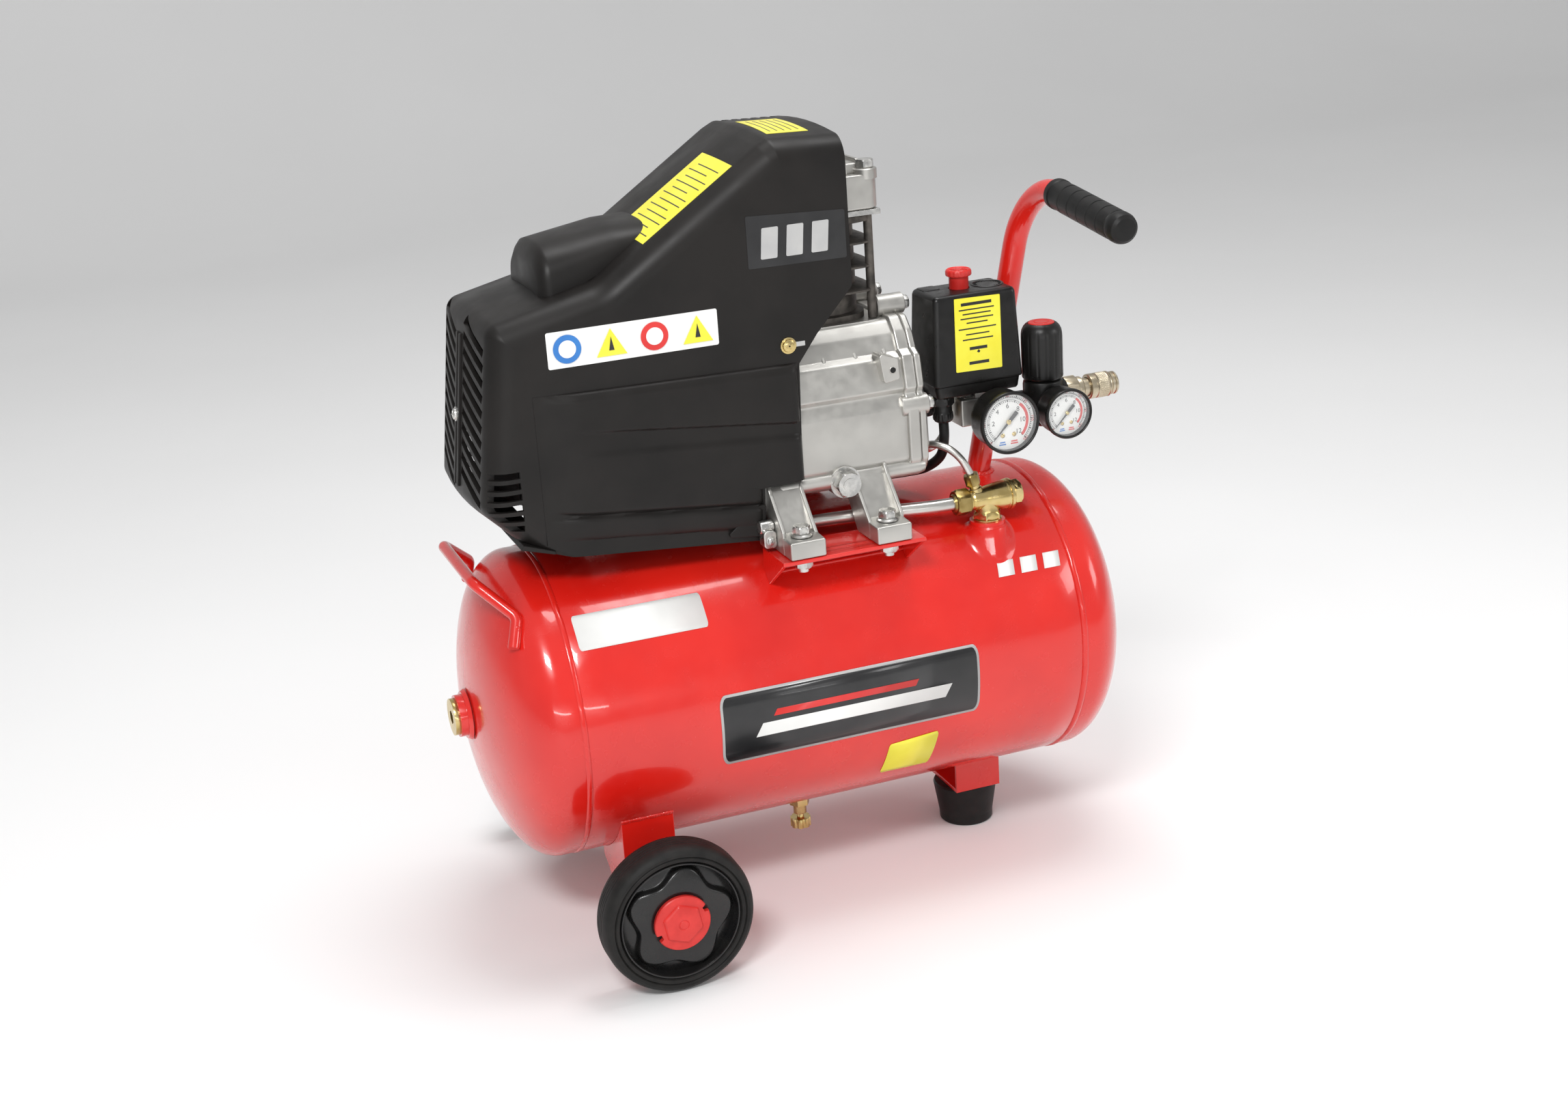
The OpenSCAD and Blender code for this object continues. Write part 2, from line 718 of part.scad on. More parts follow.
// Shroud -------------------------------------------------------------
function right_of(v) = [v.y, -v.x] / norm(v);
function inset_at(p, i, d) = let(
    a = right_of(p[i] - p[i - 1]), b = right_of(p[i + 1] - p[i]))
    p[i] + d * (a + b) / (1 + a * b);
shroud_inner = concat(
    [[-203, 290], [-203, 329.2], [-225, 337.5]],
    [for (i = [3 : 8]) inset_at(shroud_outline, i, shroud_t)],
    [[60, 606], [60, 290]]
);
bulge_outline = [
    [-39, 308], [-190, 322], [-206, 327], [-206, bulge_z], [-3, bulge_z], [-6, 351],
    [-37, 351]
];
module shroud() {
    lean = atan2(17, 132);
    louvre_z = 376;
    louvre_step = 11.2;
    louvre_x = -254;
    color(black) difference() {
        union() {
            slab_y(-shroud_half, shroud_half) polygon(shroud_outline);
            slab_y(-shroud_half - bulge, shroud_half + bulge) polygon(bulge_outline);
            cyl_x(hump_x0, hump_x1, hump_r, 0, hump_z);
        }
        slab_y(shroud_t - shroud_half, shroud_half - shroud_t) polygon(shroud_inner);
        block([-203, shroud_t - shroud_half - bulge, 290],
            [10, shroud_half + bulge - shroud_t, bulge_z - shroud_t]);
        cyl_x(hump_x0 + shroud_t, hump_x1, hump_r - shroud_t, 0, hump_z);
        both_sides() {
            cyl_y(-shroud_half - 1, -shroud_half + 4, 2, -11, 456);
            block([-6, -shroud_half - 1, 455], [3, -shroud_half + 4, 458]);
            for (i = [0 : 5]) block([-262, -90, 347.5 + i * 8.2], [-224, -69, 352.5 + i * 8.2]);
            for (i = [0 : 10]) let(rise = i * louvre_step)
                translate([louvre_x + rise * tan(lean), -34, louvre_z + rise])
                rotate([19.5, 0, 0]) block([-9, -25, -3.3], [9, 25, 3.3]);
        }
        for (i = [0 : 5]) block([-8 + i * 8, 40, 600], [-4 + i * 8, 62, 620]);
    }
}
module shroud_screws() {
    color(brass_c) both_sides() {
        cyl_y(-shroud_half - 2.5, -shroud_half, 4.5, -11, 456);
        cyl_y(-shroud_half, -shroud_half + 8, 2, -11, 456);
    }
}
module air_filter() {
    color(black) difference() {
        union() {
            cyl_y(40, 50, 8, 60, 558);
            cyl_y(50, 70, 19, 60, 558);
            cyl_y(30, 40, 6, 60, 558);
        }
        for (a = [0 : 30 : 330]) translate([60, 54, 558]) rotate([-90, 0, 0]) rotate(a)
            translate([19, 0, 0]) cylinder(h = 17, r = 1.5);
    }
}
module crankcase_plug() {
    color(steel_c) {
        cyl_y(-74, -52, 6, plug_x, rib_z - 2);
        difference() {
            hex_y(-83, -74, 19, plug_x, rib_z - 2);
            cyl_y(-84, -81, 6, plug_x, rib_z - 2);
        }
    }
}
module mount_bolts() {
    color(steel_c) foot_pattern() {
        translate([0, 0, foot_top]) cylinder(h = 2, r = 8.5);
        translate([0, 0, foot_top + 2]) cylinder(h = 6, r = 7.5, $fn = 6);
        translate([0, 0, 288]) cylinder(h = foot_top - 288, r = 4.5);
        translate([0, 0, 291]) difference() {
            cylinder(h = 8, r = 7.5, $fn = 6);
            cylinder(h = 8, r = 4.5);
        }
    }
}
// Air lines ----------------------------------------------------------
module delivery_pipe() {
    color(cast) swept_tube(delivery_route, pipe_r, 14, [0.31, 1, 0.17], 3);
}
module unloader_tube() {
    color(cast) swept_tube(unloader_route, unloader_r, 12, [0.8, 0.5, -0.6], 4);
}
module pipe_nuts() {
    color(brass_c) {
        difference() {
            hex_x(-8, cyl_x0 - head_half, 17, -28, 560);
            cyl_x(-9, 0.4, pipe_r + 2, -28, 560);
        }
        difference() {
            hex_x(119, 131, 19, valve_y, valve_z);
            cyl_x(118, 124.6, pipe_r + 2, valve_y, valve_z);
        }
        hex_z(366, sw_z0, 10, unload.x, unload.y);
    }
}
module check_valve() {
    color(brass_c) difference() {
        union() {
            cyl_x(131, 142, 8.5, valve_y, valve_z);
            translate([142, valve_y, valve_z]) rotate([0, 90, 0])
                cylinder(h = 22, r1 = 8.5, r2 = 11.5);
            cyl_x(164, 168, 12.5, valve_y, valve_z);
            hex_x(168, 175, 19, valve_y, valve_z);
            hex_z(valve_boss_top, 300, 20, valve_x, valve_y);
            cyl_z(278, 309, 9, valve_x, valve_y);
            bar([139, valve_y, valve_z + 4], [134.3, valve_y + 0.9, 329.8], 5);
        }
        cyl_z(277, 300, 5, valve_x, valve_y);
    }
}
module manifold() {
    color(cast) difference() {
        union() {
            block(block_lo, block_hi);
            cyl_z(block_hi.z, sw_z0, 8, 150, -37);
            cyl_x(block_hi.x, 205, 7, -44, 372);
            bar([158, -31.7, 371], [192, 2.3, 371], 7);
        }
        on_handle() cylinder(h = post_len, r = tube_r);
        cyl_z(reg_z0 - 1, reg_z1, 16, reg_x, reg_y);
        cyl_y(block_lo.y - 1, block_lo.y + 8, 5, gauge_x, gauge_z);
    }
}
module safety_valve() {
    color(brass_c) difference() {
        union() {
            hex_y(block_hi.y, block_hi.y + 8, 12, 146.5, 372);
            cyl_y(block_hi.y + 8, block_hi.y + 24, 5.5, 146.5, 372);
        }
        cyl_y(block_hi.y + 10, block_hi.y + 25, 2.06, 146.5, 372);
    }
}
module safety_pull() {
    y1 = block_hi.y + 24;
    color(steel_c) {
        cyl_y(y1 - 10, y1 + 3, 2, 146.5, 372);
        translate([146.5, y1 + 12, 372]) rotate([0, 90, 0]) rotate_extrude()
            translate([9.5, 0]) circle(r = 1.5);
    }
}
// Pressure switch ----------------------------------------------------
module tapered_box(m, z0, z1) {
    intersection() {
        slab_y(sw_y0 - 1, sw_y1 + 1) polygon([
            [sw_x0 + m, z0], [sw_x1 - m, z0], [sw_x1 - 3 - m, z1], [sw_x0 + 3 + m, z1]]);
        slab_x(sw_x0 - 1, sw_x1 + 1) polygon([
            [sw_y0 + m, z0], [sw_y1 - m, z0], [sw_y1 - 3 - m, z1], [sw_y0 + 3 + m, z1]]);
    }
}
module switch_base() {
    color(black) difference() {
        block([sw_x0 + 0.5, sw_y0 + 0.5, sw_z0], [sw_x1 - 0.5, sw_y1 - 0.5, sw_z1]);
        block([sw_x0 + 4, sw_y0 + 4, sw_z0 + 4], [sw_x1 - 4, sw_y1 - 4, sw_z1 + 1]);
    }
}
module switch_cover() {
    color(black) difference() {
        tapered_box(0, sw_z1, sw_z2);
        tapered_box(3, sw_z1 - 0.01, sw_z2 - 3);
        cyl_z(sw_z2 - 5, sw_z2 + 1, 8.2, knob_x, knob_y);
    }
}
module switch_knob() {
    color(red) {
        cyl_z(sw_z2 - 6.5, sw_z2 - 4, 10, knob_x, knob_y);
        cyl_z(sw_z2 - 6.5, sw_z2 + 10, 7.7, knob_x, knob_y);
        difference() {
            cyl_z(sw_z2 + 10, sw_z2 + 15, 10.3, knob_x, knob_y);
            for (a = [0 : 24 : 336]) translate([knob_x, knob_y, sw_z2 + 9]) rotate(a)
                translate([11, 0, 0]) cylinder(h = 7, r = 1.2);
        }
    }
}
module cable_glands() {
    color(black) difference() {
        for (g = gland_pos) {
            hex_z(sw_z0 - 7, sw_z0, 16, g.x, g.y);
            cyl_z(gland_low, sw_z0 - 7, 7.5, g.x, g.y);
        }
        cyl_z(gland_low - 1, sw_z0 - 4, 4, gland_pos[1].x, gland_pos[1].y);
    }
}
module motor_lead() {
    color(black) swept_tube(lead_route, lead_r, 12, [0.31, 0.93, 0.2], 4);
}
// Regulator, gauges and outlet ---------------------------------------
module regulator_body() {
    color(black) {
        cyl_z(reg_z0, reg_z1, 16, reg_x, reg_y);
        cyl_z(reg_z1, reg_z1 + 8, 12, reg_x, reg_y);
    }
}
module regulator_knob() {
    color(black) difference() {
        cyl_z(reg_z1 + 0.5, reg_top, reg_r, reg_x, reg_y);
        cyl_z(reg_z1, reg_z1 + 8.5, 12.3, reg_x, reg_y);
        for (a = [0 : 30 : 330]) translate([reg_x, reg_y, reg_z1]) rotate(a)
            translate([reg_r + 1, 0, 0]) cylinder(h = 40, r = 2.2);
    }
}
module gauge_cup(x, z, y0, y1, r, rim) {
    difference() {
        cyl_y(y0, y1, r, x, z);
        cyl_y(y0 - 1, y0 + 6, r - rim, x, z);
        cyl_y(y0, y0 + 12, 1.06, x, z);
    }
}
module gauge_cases() {
    color(black) {
        gauge_cup(gauge_x, gauge_z, gauge_y0, gauge_y1, gauge_r, 2.5);
        hex_y(gauge_y1, block_lo.y, 14, gauge_x, gauge_z);
        cyl_y(block_lo.y, block_lo.y + 8, 5, gauge_x, gauge_z);
        gauge_cup(reg_x, small_z, small_y0, small_y1, small_gauge_r, 2.2);
        difference() {
            cyl_y(small_y1, reg_y - 10, 6, reg_x, small_z);
            cyl_z(reg_z0 - 1, reg_z1, 16, reg_x, reg_y);
        }
    }
}
module gauge_lenses() {
    color("#e8f0f4", 0.4) {
        cyl_y(gauge_y0 + 0.8, gauge_y0 + 2, gauge_r - 2.5, gauge_x, gauge_z);
        cyl_y(small_y0 + 0.8, small_y0 + 2, small_gauge_r - 2.2, reg_x, small_z);
    }
}
module needle(x, z, y0, reach) {
    color(black) {
        cyl_y(y0 + 3.4, y0 + 10, 1, x, z);
        cyl_y(y0 + 3.4, y0 + 4.8, 2.6, x, z);
        translate([x, y0 + 3.8, z]) rotate([0, -225, 0])
            block([-6, 0, -0.7], [reach, 0.8, 0.7]);
    }
}
module tank_gauge_needle() {
    needle(gauge_x, gauge_z, gauge_y0, 16);
}
module outlet_gauge_needle() {
    needle(reg_x, small_z, small_y0, 12.5);
}
module coupler_body() {
    color(brass_c) difference() {
        union() {
            cyl_x(222, 228, 8, reg_y, coup_z);
            hex_x(coup_x0 + 1.5, 240, 20, reg_y, coup_z);
            cyl_x(240, 244.5, 9.5, reg_y, coup_z);
            cyl_x(244.5, coup_x1, 7.5, reg_y, coup_z);
            cyl_x(269, coup_x1, 9.2, reg_y, coup_z);
        }
        cyl_x(250, coup_x1 + 1, 5.2, reg_y, coup_z);
        cyl_z(reg_z0 - 1, reg_z1, 16, reg_x, reg_y);
    }
}
module coupler_sleeve() {
    color(brass_c) difference() {
        cyl_x(250, 268.5, 10.3, reg_y, coup_z);
        cyl_x(249, 270, 7.8, reg_y, coup_z);
        for (a = [0 : 20 : 340]) translate([251.5, reg_y, coup_z]) rotate([a, 0, 0])
            translate([0, 0, 10.6]) rotate([0, 90, 0]) cylinder(h = 15.5, r = 0.7);
    }
}

tank_shell();
tank_heads();
tank_bosses();
inspection_plug();
drain_cock_body();
drain_cock_screw();
pump_brackets();
handle_tube();
handle_grip();
tow_bail();
wheel_brackets();
chassis_bolts();
tyre_front();
hub_front();
cap_front();
tyre_rear();
hub_rear();
cap_rear();
foot_bracket();
rubber_foot();
crankcase();
crankcase_cover();
pump_bolts();
pump_cylinder();
valve_plate();
cylinder_head();
piston();
connecting_rod();
crankshaft();
bearings();
rotor();
cooling_fan();
stator();
motor_end_bracket();
capacitor();
shroud();
shroud_screws();
air_filter();
crankcase_plug();
mount_bolts();
delivery_pipe();
pipe_nuts();
check_valve();
unloader_tube();
manifold();
safety_valve();
safety_pull();
switch_base();
switch_cover();
switch_knob();
cable_glands();
motor_lead();
regulator_body();
regulator_knob();
gauge_cases();
gauge_lenses();
tank_gauge_needle();
outlet_gauge_needle();
coupler_body();
coupler_sleeve();
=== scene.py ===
from math import atan2, copysign, cos, exp, pi, radians, sin, sqrt, tan

import bmesh
import bpy
from mathutils import Matrix, Vector


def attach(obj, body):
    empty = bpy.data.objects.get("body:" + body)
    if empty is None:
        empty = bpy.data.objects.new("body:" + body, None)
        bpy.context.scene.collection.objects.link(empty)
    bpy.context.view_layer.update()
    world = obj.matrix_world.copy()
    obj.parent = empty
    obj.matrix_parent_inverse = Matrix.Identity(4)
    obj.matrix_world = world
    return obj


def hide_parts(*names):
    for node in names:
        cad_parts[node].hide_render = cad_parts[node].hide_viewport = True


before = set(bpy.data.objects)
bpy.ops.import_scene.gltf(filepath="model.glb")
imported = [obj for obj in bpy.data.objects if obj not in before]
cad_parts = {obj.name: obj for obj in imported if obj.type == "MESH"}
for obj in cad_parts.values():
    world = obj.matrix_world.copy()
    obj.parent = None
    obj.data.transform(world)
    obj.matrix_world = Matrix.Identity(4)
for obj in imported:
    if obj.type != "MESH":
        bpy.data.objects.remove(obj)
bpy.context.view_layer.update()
scene = bpy.context.scene
MM = 0.001
TAU = 2 * pi
ALONG, UP, FRONT = (1, 0, 0), (0, 0, 1), (0, -1, 0)

# Main sizes in millimetres, as in part.scad
TANK_R, TANK_Z, SEAM_X, SKIRT, HEAD = 122.5, 185, 207, 11, 50
SHAFT_Z, CYL_X = 402, 44
WHEEL_X, WHEEL_R, TYRE_Y, TYRE_W = -161, 59, 173.5, 32
LEG_X = (-21, 49.5)         # middle of the crankcase's legs
STOP_AT = (148, -37, 0)     # axis of the stop button
VALVE_AT = (147, -75, 0)    # axis of the check valve's neck


# ------------------------------------------------------------------ materials
def principled(name, color, rough, metal=0.0, **sockets):
    m = bpy.data.materials.new(name)
    m.use_nodes = True
    b = m.node_tree.nodes["Principled BSDF"]
    b.inputs["Base Color"].default_value = (*color, 1)
    b.inputs["Roughness"].default_value = rough
    b.inputs["Metallic"].default_value = metal
    for key, value in sockets.items():
        b.inputs[key.replace("_", " ")].default_value = value
    return m


def noise(m, scale, detail=3.0, stretch=(1, 1, 1)):
    n = m.node_tree.nodes
    tex = n.new("ShaderNodeTexCoord")
    mapping = n.new("ShaderNodeMapping")
    mapping.inputs["Scale"].default_value = stretch
    out = n.new("ShaderNodeTexNoise")
    out.inputs["Scale"].default_value = scale
    out.inputs["Detail"].default_value = detail
    out.inputs["Roughness"].default_value = 0.5
    m.node_tree.links.new(tex.outputs["Object"], mapping.inputs["Vector"])
    m.node_tree.links.new(mapping.outputs["Vector"], out.inputs["Vector"])
    return out.outputs["Fac"]


def ramp(m, fac, stops):
    r = m.node_tree.nodes.new("ShaderNodeValToRGB")
    els = r.color_ramp.elements
    while len(els) < len(stops):
        els.new(0.5)
    for e, (pos, col) in zip(els, stops):
        e.position = pos
        e.color = (*col, 1)
    m.node_tree.links.new(fac, r.inputs["Fac"])
    return r.outputs["Color"]


def vary(m, c1, c2, scale, *grain):
    out = ramp(m, noise(m, scale, *grain), [(0.35, c1), (0.65, c2)])
    m.node_tree.links.new(out, m.node_tree.nodes["Principled BSDF"].inputs["Base Color"])


def vary_rough(m, r1, r2, scale, *grain):
    mr = m.node_tree.nodes.new("ShaderNodeMapRange")
    mr.inputs["From Min"].default_value = 0.3
    mr.inputs["From Max"].default_value = 0.7
    mr.inputs["To Min"].default_value = r1
    mr.inputs["To Max"].default_value = r2
    m.node_tree.links.new(noise(m, scale, *grain), mr.inputs["Value"])
    m.node_tree.links.new(mr.outputs["Result"], m.node_tree.nodes["Principled BSDF"].inputs["Roughness"])


def bump(m, scale, strength, distance, *grain):
    """Adds a bump layer; a second call stacks on the first."""
    n = m.node_tree.nodes
    b = n.new("ShaderNodeBump")
    b.inputs["Strength"].default_value = strength
    b.inputs["Distance"].default_value = distance
    m.node_tree.links.new(noise(m, scale, *grain), b.inputs["Height"])
    target = n["Principled BSDF"].inputs["Normal"]
    if target.is_linked:
        m.node_tree.links.new(target.links[0].from_socket, b.inputs["Normal"])
    m.node_tree.links.new(b.outputs["Normal"], target)


def material(name, color, rough, metal=0.0, shades=None, shine=None, bumps=(), **sockets):
    """A material with noise in its colour (shades), its roughness (shine) and its surface (bumps)."""
    m = principled(name, color, rough, metal, **sockets)
    if shades:
        vary(m, *shades)
    if shine:
        vary_rough(m, *shine)
    for layer in bumps:
        bump(m, *layer)
    return m


def rubber(name, c1, c2, rough):
    return material(name, c1, rough, 0, (c1, c2, 90, 6), None, [(900, 0.35, 0.0002, 5)],
        Specular_IOR_Level=0.26)


def brass(name, c1, c2, rough):
    return material(name, c1, rough, 1, (c1, c2, 90, 4), (rough - 0.05, rough + 0.06, 120, 3),
        [(700, 0.05, 0.0001, 2)])


def label(name, c1, c2, rough=0.35):
    return material(name, c1, rough, 0, (c1, c2, 40), None, [(180, 0.05, 0.0004)], Coat_Weight=0.25,
        Coat_Roughness=0.15)


RED = material("red_paint", (0.66, 0.016, 0.011), 0.22, 0,
    ((0.62, 0.010, 0.006), (0.70, 0.016, 0.009), 14), (0.17, 0.30, 60), [(260, 0.05, 0.0003)],
    Coat_Weight=0.55, Coat_Roughness=0.05)
SHROUD = material("shroud_plastic", (0.010, 0.0085, 0.008), 0.46, 0,
    ((0.008, 0.007, 0.0065), (0.013, 0.0112, 0.0102), 18), (0.38, 0.5, 35),
    [(2600, 0.22, 0.00012, 2), (45, 0.04, 0.0006)], Specular_IOR_Level=0.26)
BLACK = material("black_plastic", (0.007, 0.0068, 0.0066), 0.34, 0,
    ((0.006, 0.0058, 0.0056), (0.010, 0.0095, 0.009), 40), (0.26, 0.42, 120), [(1800, 0.12, 0.0001)],
    Specular_IOR_Level=0.36)
HUB = material("hub_plastic", (0.006, 0.006, 0.0065), 0.27, 0,
    ((0.005, 0.005, 0.0055), (0.010, 0.0095, 0.009), 60), (0.2, 0.36, 90), [(700, 0.06, 0.0002)])
TYRE = rubber("tyre_rubber", (0.007, 0.0066, 0.0062), (0.014, 0.013, 0.012), 0.58)
RUBBER = rubber("rubber", (0.006, 0.006, 0.006), (0.011, 0.0105, 0.010), 0.46)
CAST = material("cast_aluminium", (0.52, 0.51, 0.48), 0.42, 0.9,
    ((0.47, 0.46, 0.435), (0.55, 0.54, 0.51), 30, 6), (0.34, 0.46, 120, 5),
    [(1500, 0.3, 0.00012, 5), (110, 0.04, 0.0005, 3)])
ALU = material("drawn_aluminium", (0.66, 0.65, 0.62), 0.3, 0.95,
    ((0.56, 0.55, 0.52), (0.70, 0.69, 0.66), 70, 3, (0.15, 1, 1)), None,
    [(600, 0.1, 0.0001, 3, (0.1, 1, 1))])
IRON = material("iron", (0.09, 0.082, 0.074), 0.6, 0.6,
    ((0.055, 0.05, 0.045), (0.14, 0.125, 0.11), 110, 8), None, [(700, 0.5, 0.0003, 6)])
BRASS = brass("brass", (0.58, 0.44, 0.17), (0.68, 0.54, 0.26), 0.24)
PALE = brass("pale_brass", (0.50, 0.43, 0.31), (0.58, 0.51, 0.39), 0.3)
DBRASS = brass("dark_brass", (0.28, 0.20, 0.07), (0.42, 0.32, 0.13), 0.3)
ZINC = material("zinc", (0.62, 0.61, 0.58), 0.3, 1, ((0.48, 0.48, 0.47), (0.70, 0.69, 0.66), 160, 7),
    (0.22, 0.42, 260, 4), [(1200, 0.15, 0.0001)])
REDP = material("red_plastic", (0.60, 0.022, 0.018), 0.38, 0,
    ((0.54, 0.018, 0.014), (0.66, 0.032, 0.026), 80), (0.32, 0.46, 160), [(900, 0.1, 0.00015)])
GLASS = material("lens", (0.95, 0.97, 0.98), 0.04, 0, None, (0.02, 0.07, 90), Alpha=0.08)
WHITE = label("white_print", (0.78, 0.78, 0.76), (0.83, 0.83, 0.81))
YELLOW = label("yellow_print", (0.80, 0.72, 0.03), (0.86, 0.79, 0.06))
INK = label("black_print", (0.010, 0.010, 0.011), (0.018, 0.018, 0.019), 0.28)
GREY = label("grey_print", (0.42, 0.42, 0.42), (0.48, 0.48, 0.47))
REDINK = label("red_print", (0.62, 0.02, 0.018), (0.68, 0.03, 0.025))
BLUE = label("blue_print", (0.02, 0.16, 0.50), (0.03, 0.20, 0.56))
# Painted shade: a near-black colour laid into holes and recesses in place of the shade inside them.
HOLE_SHADE = material("painted_hole_shade", (0.004, 0.004, 0.004), 0.8, 0,
    ((0.003, 0.003, 0.003), (0.006, 0.006, 0.006), 50))


# ------------------------------------------------------------------ geometry
def link(name, data):
    ob = bpy.data.objects.new(name, data)
    scene.collection.objects.link(ob)
    return ob


def to_mesh(name, bm):
    """A mesh in metres from a bmesh in millimetres, which is freed."""
    bmesh.ops.scale(bm, vec=(MM, MM, MM), verts=bm.verts)
    me = bpy.data.meshes.new(name)
    bm.to_mesh(me)
    bm.free()
    return me


def put(name, bm, mat, body="frame", bevel=0.0, seg=3, angle=32, replaces=()):
    """Turns a bmesh in millimetres into a finished, riding piece."""
    bmesh.ops.remove_doubles(bm, verts=bm.verts, dist=1e-4)
    bmesh.ops.recalc_face_normals(bm, faces=bm.faces)
    me = to_mesh(name, bm)
    me.materials.append(mat)
    me.shade_smooth()
    me.set_sharp_from_angle(angle=radians(angle))
    ob = link(name, me)
    if bevel:
        add_bevel(ob, bevel, seg)
    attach(ob, body)
    if replaces:
        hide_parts(*replaces)
    return ob


def add_bevel(ob, width, seg):
    b = ob.modifiers.new("edge", "BEVEL")
    b.width = width * MM
    b.segments = seg
    b.limit_method = "ANGLE"
    b.angle_limit = radians(32)
    b.harden_normals = True
    b.use_clamp_overlap = True


def frame_to(origin, axis):
    """Matrix that takes local +Z to axis and the local origin to origin."""
    z = Vector(axis).normalized()
    return Matrix.Translation(origin) @ Vector(UP).rotation_difference(z).to_matrix().to_4x4()


def rect(x0, y0, x1, y1):
    return [(x0, y0), (x1, y0), (x1, y1), (x0, y1)]


def rounded(points, radius, steps=5, closed=True):
    """A polyline with its corners turned into arcs; radius may be a list."""
    n = len(points)
    out = []
    for i, p in enumerate(points):
        r = radius[i] if isinstance(radius, (list, tuple)) else radius
        if r <= 0 or (not closed and i in (0, n - 1)):
            out.append(tuple(p))
            continue
        a, b, c = (Vector(points[i - 1]), Vector(p), Vector(points[(i + 1) % n]))
        u, v = (a - b).normalized(), (c - b).normalized()
        half = u.angle(v) / 2
        trim = min(r / tan(half), 0.48 * (a - b).length, 0.48 * (c - b).length)
        r = trim * tan(half)
        mid = b + (u + v).normalized() * (r / sin(half))
        s, e = b + u * trim - mid, b + v * trim - mid
        for k in range(steps + 1):
            t = k / steps
            d = s.lerp(e, t).normalized() * r
            out.append(tuple(mid + d))
    return out


def join(bm, rings, wrap=True, caps=False):
    """Faces between equal rings of vertices; wrap closes each ring and caps fills both ends."""
    n = len(rings[0])
    for lo, hi in zip(rings, rings[1:]):
        for k in range(n if wrap else n - 1):
            j = (k + 1) % n
            bm.faces.new((lo[k], lo[j], hi[j], hi[k]))
    if caps:
        bm.faces.new(rings[0])
        bm.faces.new(rings[-1])
    return bm


def step(v):
    """A smooth rise from 0 to 1."""
    v = max(0.0, min(1.0, v))
    return v * v * (3 - 2 * v)


def lathe(bm, profile, origin=(0, 0, 0), axis=UP, n=64, shape=None, caps=True):
    """Revolves [(radius, height)]; shape(radius, height, angle) may move each point."""
    m = frame_to(origin, axis)
    rings = []
    for r, h in profile:
        ring = []
        for k in range(n):
            a = TAU * k / n
            rr, hh = shape(r, h, a) if shape else (r, h)
            ring.append(bm.verts.new(m @ Vector((rr * cos(a), rr * sin(a), hh))))
        rings.append(ring)
    join(bm, rings)
    closed = tuple(profile[0]) == tuple(profile[-1])
    for ring, end in ((rings[0], profile[0]), (rings[-1], profile[-1])):
        if caps and end[0] > 1e-6 and not closed:
            bm.faces.new(ring)
    return bm


def rod(bm, r, lo, hi, *where):
    """A plain cylinder from lo to hi along its axis."""
    return lathe(bm, [(0, lo), (r, lo), (r, hi), (0, hi)], *where)


def hexagon(across):
    """A lathe shape that turns a round section into a hexagon with turned corners."""
    def shape(r, h, a):
        t = (a % (TAU / 6)) - TAU / 12
        return min(r, across / 2 / cos(t)), h
    return shape


def hex_nut(bm, origin, axis, across, height):
    R = across / sqrt(3)
    profile = [(across * 0.49, 0), (R, across * 0.07), (R, height - across * 0.09),
        (across * 0.49, height), (across * 0.3, height)]
    return lathe(bm, profile, origin, axis, 48, hexagon(across))


def box(bm, lo, hi, m=None):
    for v in bmesh.ops.create_cube(bm, size=1)["verts"]:
        v.co = Vector([lo[i] + (v.co[i] + 0.5) * (hi[i] - lo[i]) for i in range(3)])
        if m:
            v.co = m @ v.co
    return bm


def prism(bm, outline, lo, hi, plane="xz"):
    """Closed prism over a 2-D outline: plane xz runs along y, yz along x, xy along z."""
    def at(p, h):
        return {"xz": (p[0], h, p[1]), "yz": (h, p[0], p[1]), "xy": (p[0], p[1], h)}[plane]
    return join(bm, [[bm.verts.new(at(p, h)) for p in outline] for h in (lo, hi)], caps=True)


def smooth_path(pts, steps=6):
    out = []
    n = len(pts)
    P = [Vector(p) for p in pts]
    for i in range(n - 1):
        a, b, c, d = P[max(i - 1, 0)], P[i], P[i + 1], P[min(i + 2, n - 1)]
        for k in range(steps):
            t = k / steps
            line = 2 * b + (c - a) * t
            out.append(0.5 * (line + (2 * a - 5 * b + 4 * c - d) * t * t + (3 * b - a - 3 * c + d) * t ** 3))
    out.append(P[-1])
    return out


def tube(bm, path, radius, n=20, caps=True):
    """Sweeps a circle along points; radius may be a function of the fraction along."""
    path = [Vector(p) for p in path]
    m = len(path)
    t0 = (path[1] - path[0]).normalized()
    u = t0.orthogonal().normalized()
    rings = []
    for i, p in enumerate(path):
        t = (path[min(i + 1, m - 1)] - path[max(i - 1, 0)]).normalized()
        u = (u - t * u.dot(t)).normalized()
        v = t.cross(u)
        r = radius(i / (m - 1)) if callable(radius) else radius
        turn = [TAU * k / n for k in range(n)]
        rings.append([bm.verts.new(p + r * (cos(a) * u + sin(a) * v)) for a in turn])
    return join(bm, rings, caps=caps)


def cad(node, mat, bevel=0.0, seg=2):
    """Gives a CAD node a finished material and softened edges."""
    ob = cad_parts[node]
    for s in ob.material_slots:
        s.material = mat
    if bevel:
        w = ob.modifiers.new("weld", "WELD")
        w.merge_threshold = 1e-6
        add_bevel(ob, bevel, seg)


def cut(ob, bm):
    """Subtracts a bmesh in millimetres from a piece, and keeps no cutter."""
    bmesh.ops.recalc_face_normals(bm, faces=bm.faces)
    tool = link("cutter", to_mesh("cutter", bm))
    mod = ob.modifiers.new("cut", "BOOLEAN")
    mod.operation = "DIFFERENCE"
    mod.solver = "EXACT"
    mod.object = tool
    bake(ob)
    bpy.data.objects.remove(tool)


def bake(ob):
    """Applies a piece's modifiers."""
    dg = bpy.context.evaluated_depsgraph_get()
    me = bpy.data.meshes.new_from_object(ob.evaluated_get(dg))
    ob.modifiers.clear()
    ob.data = me


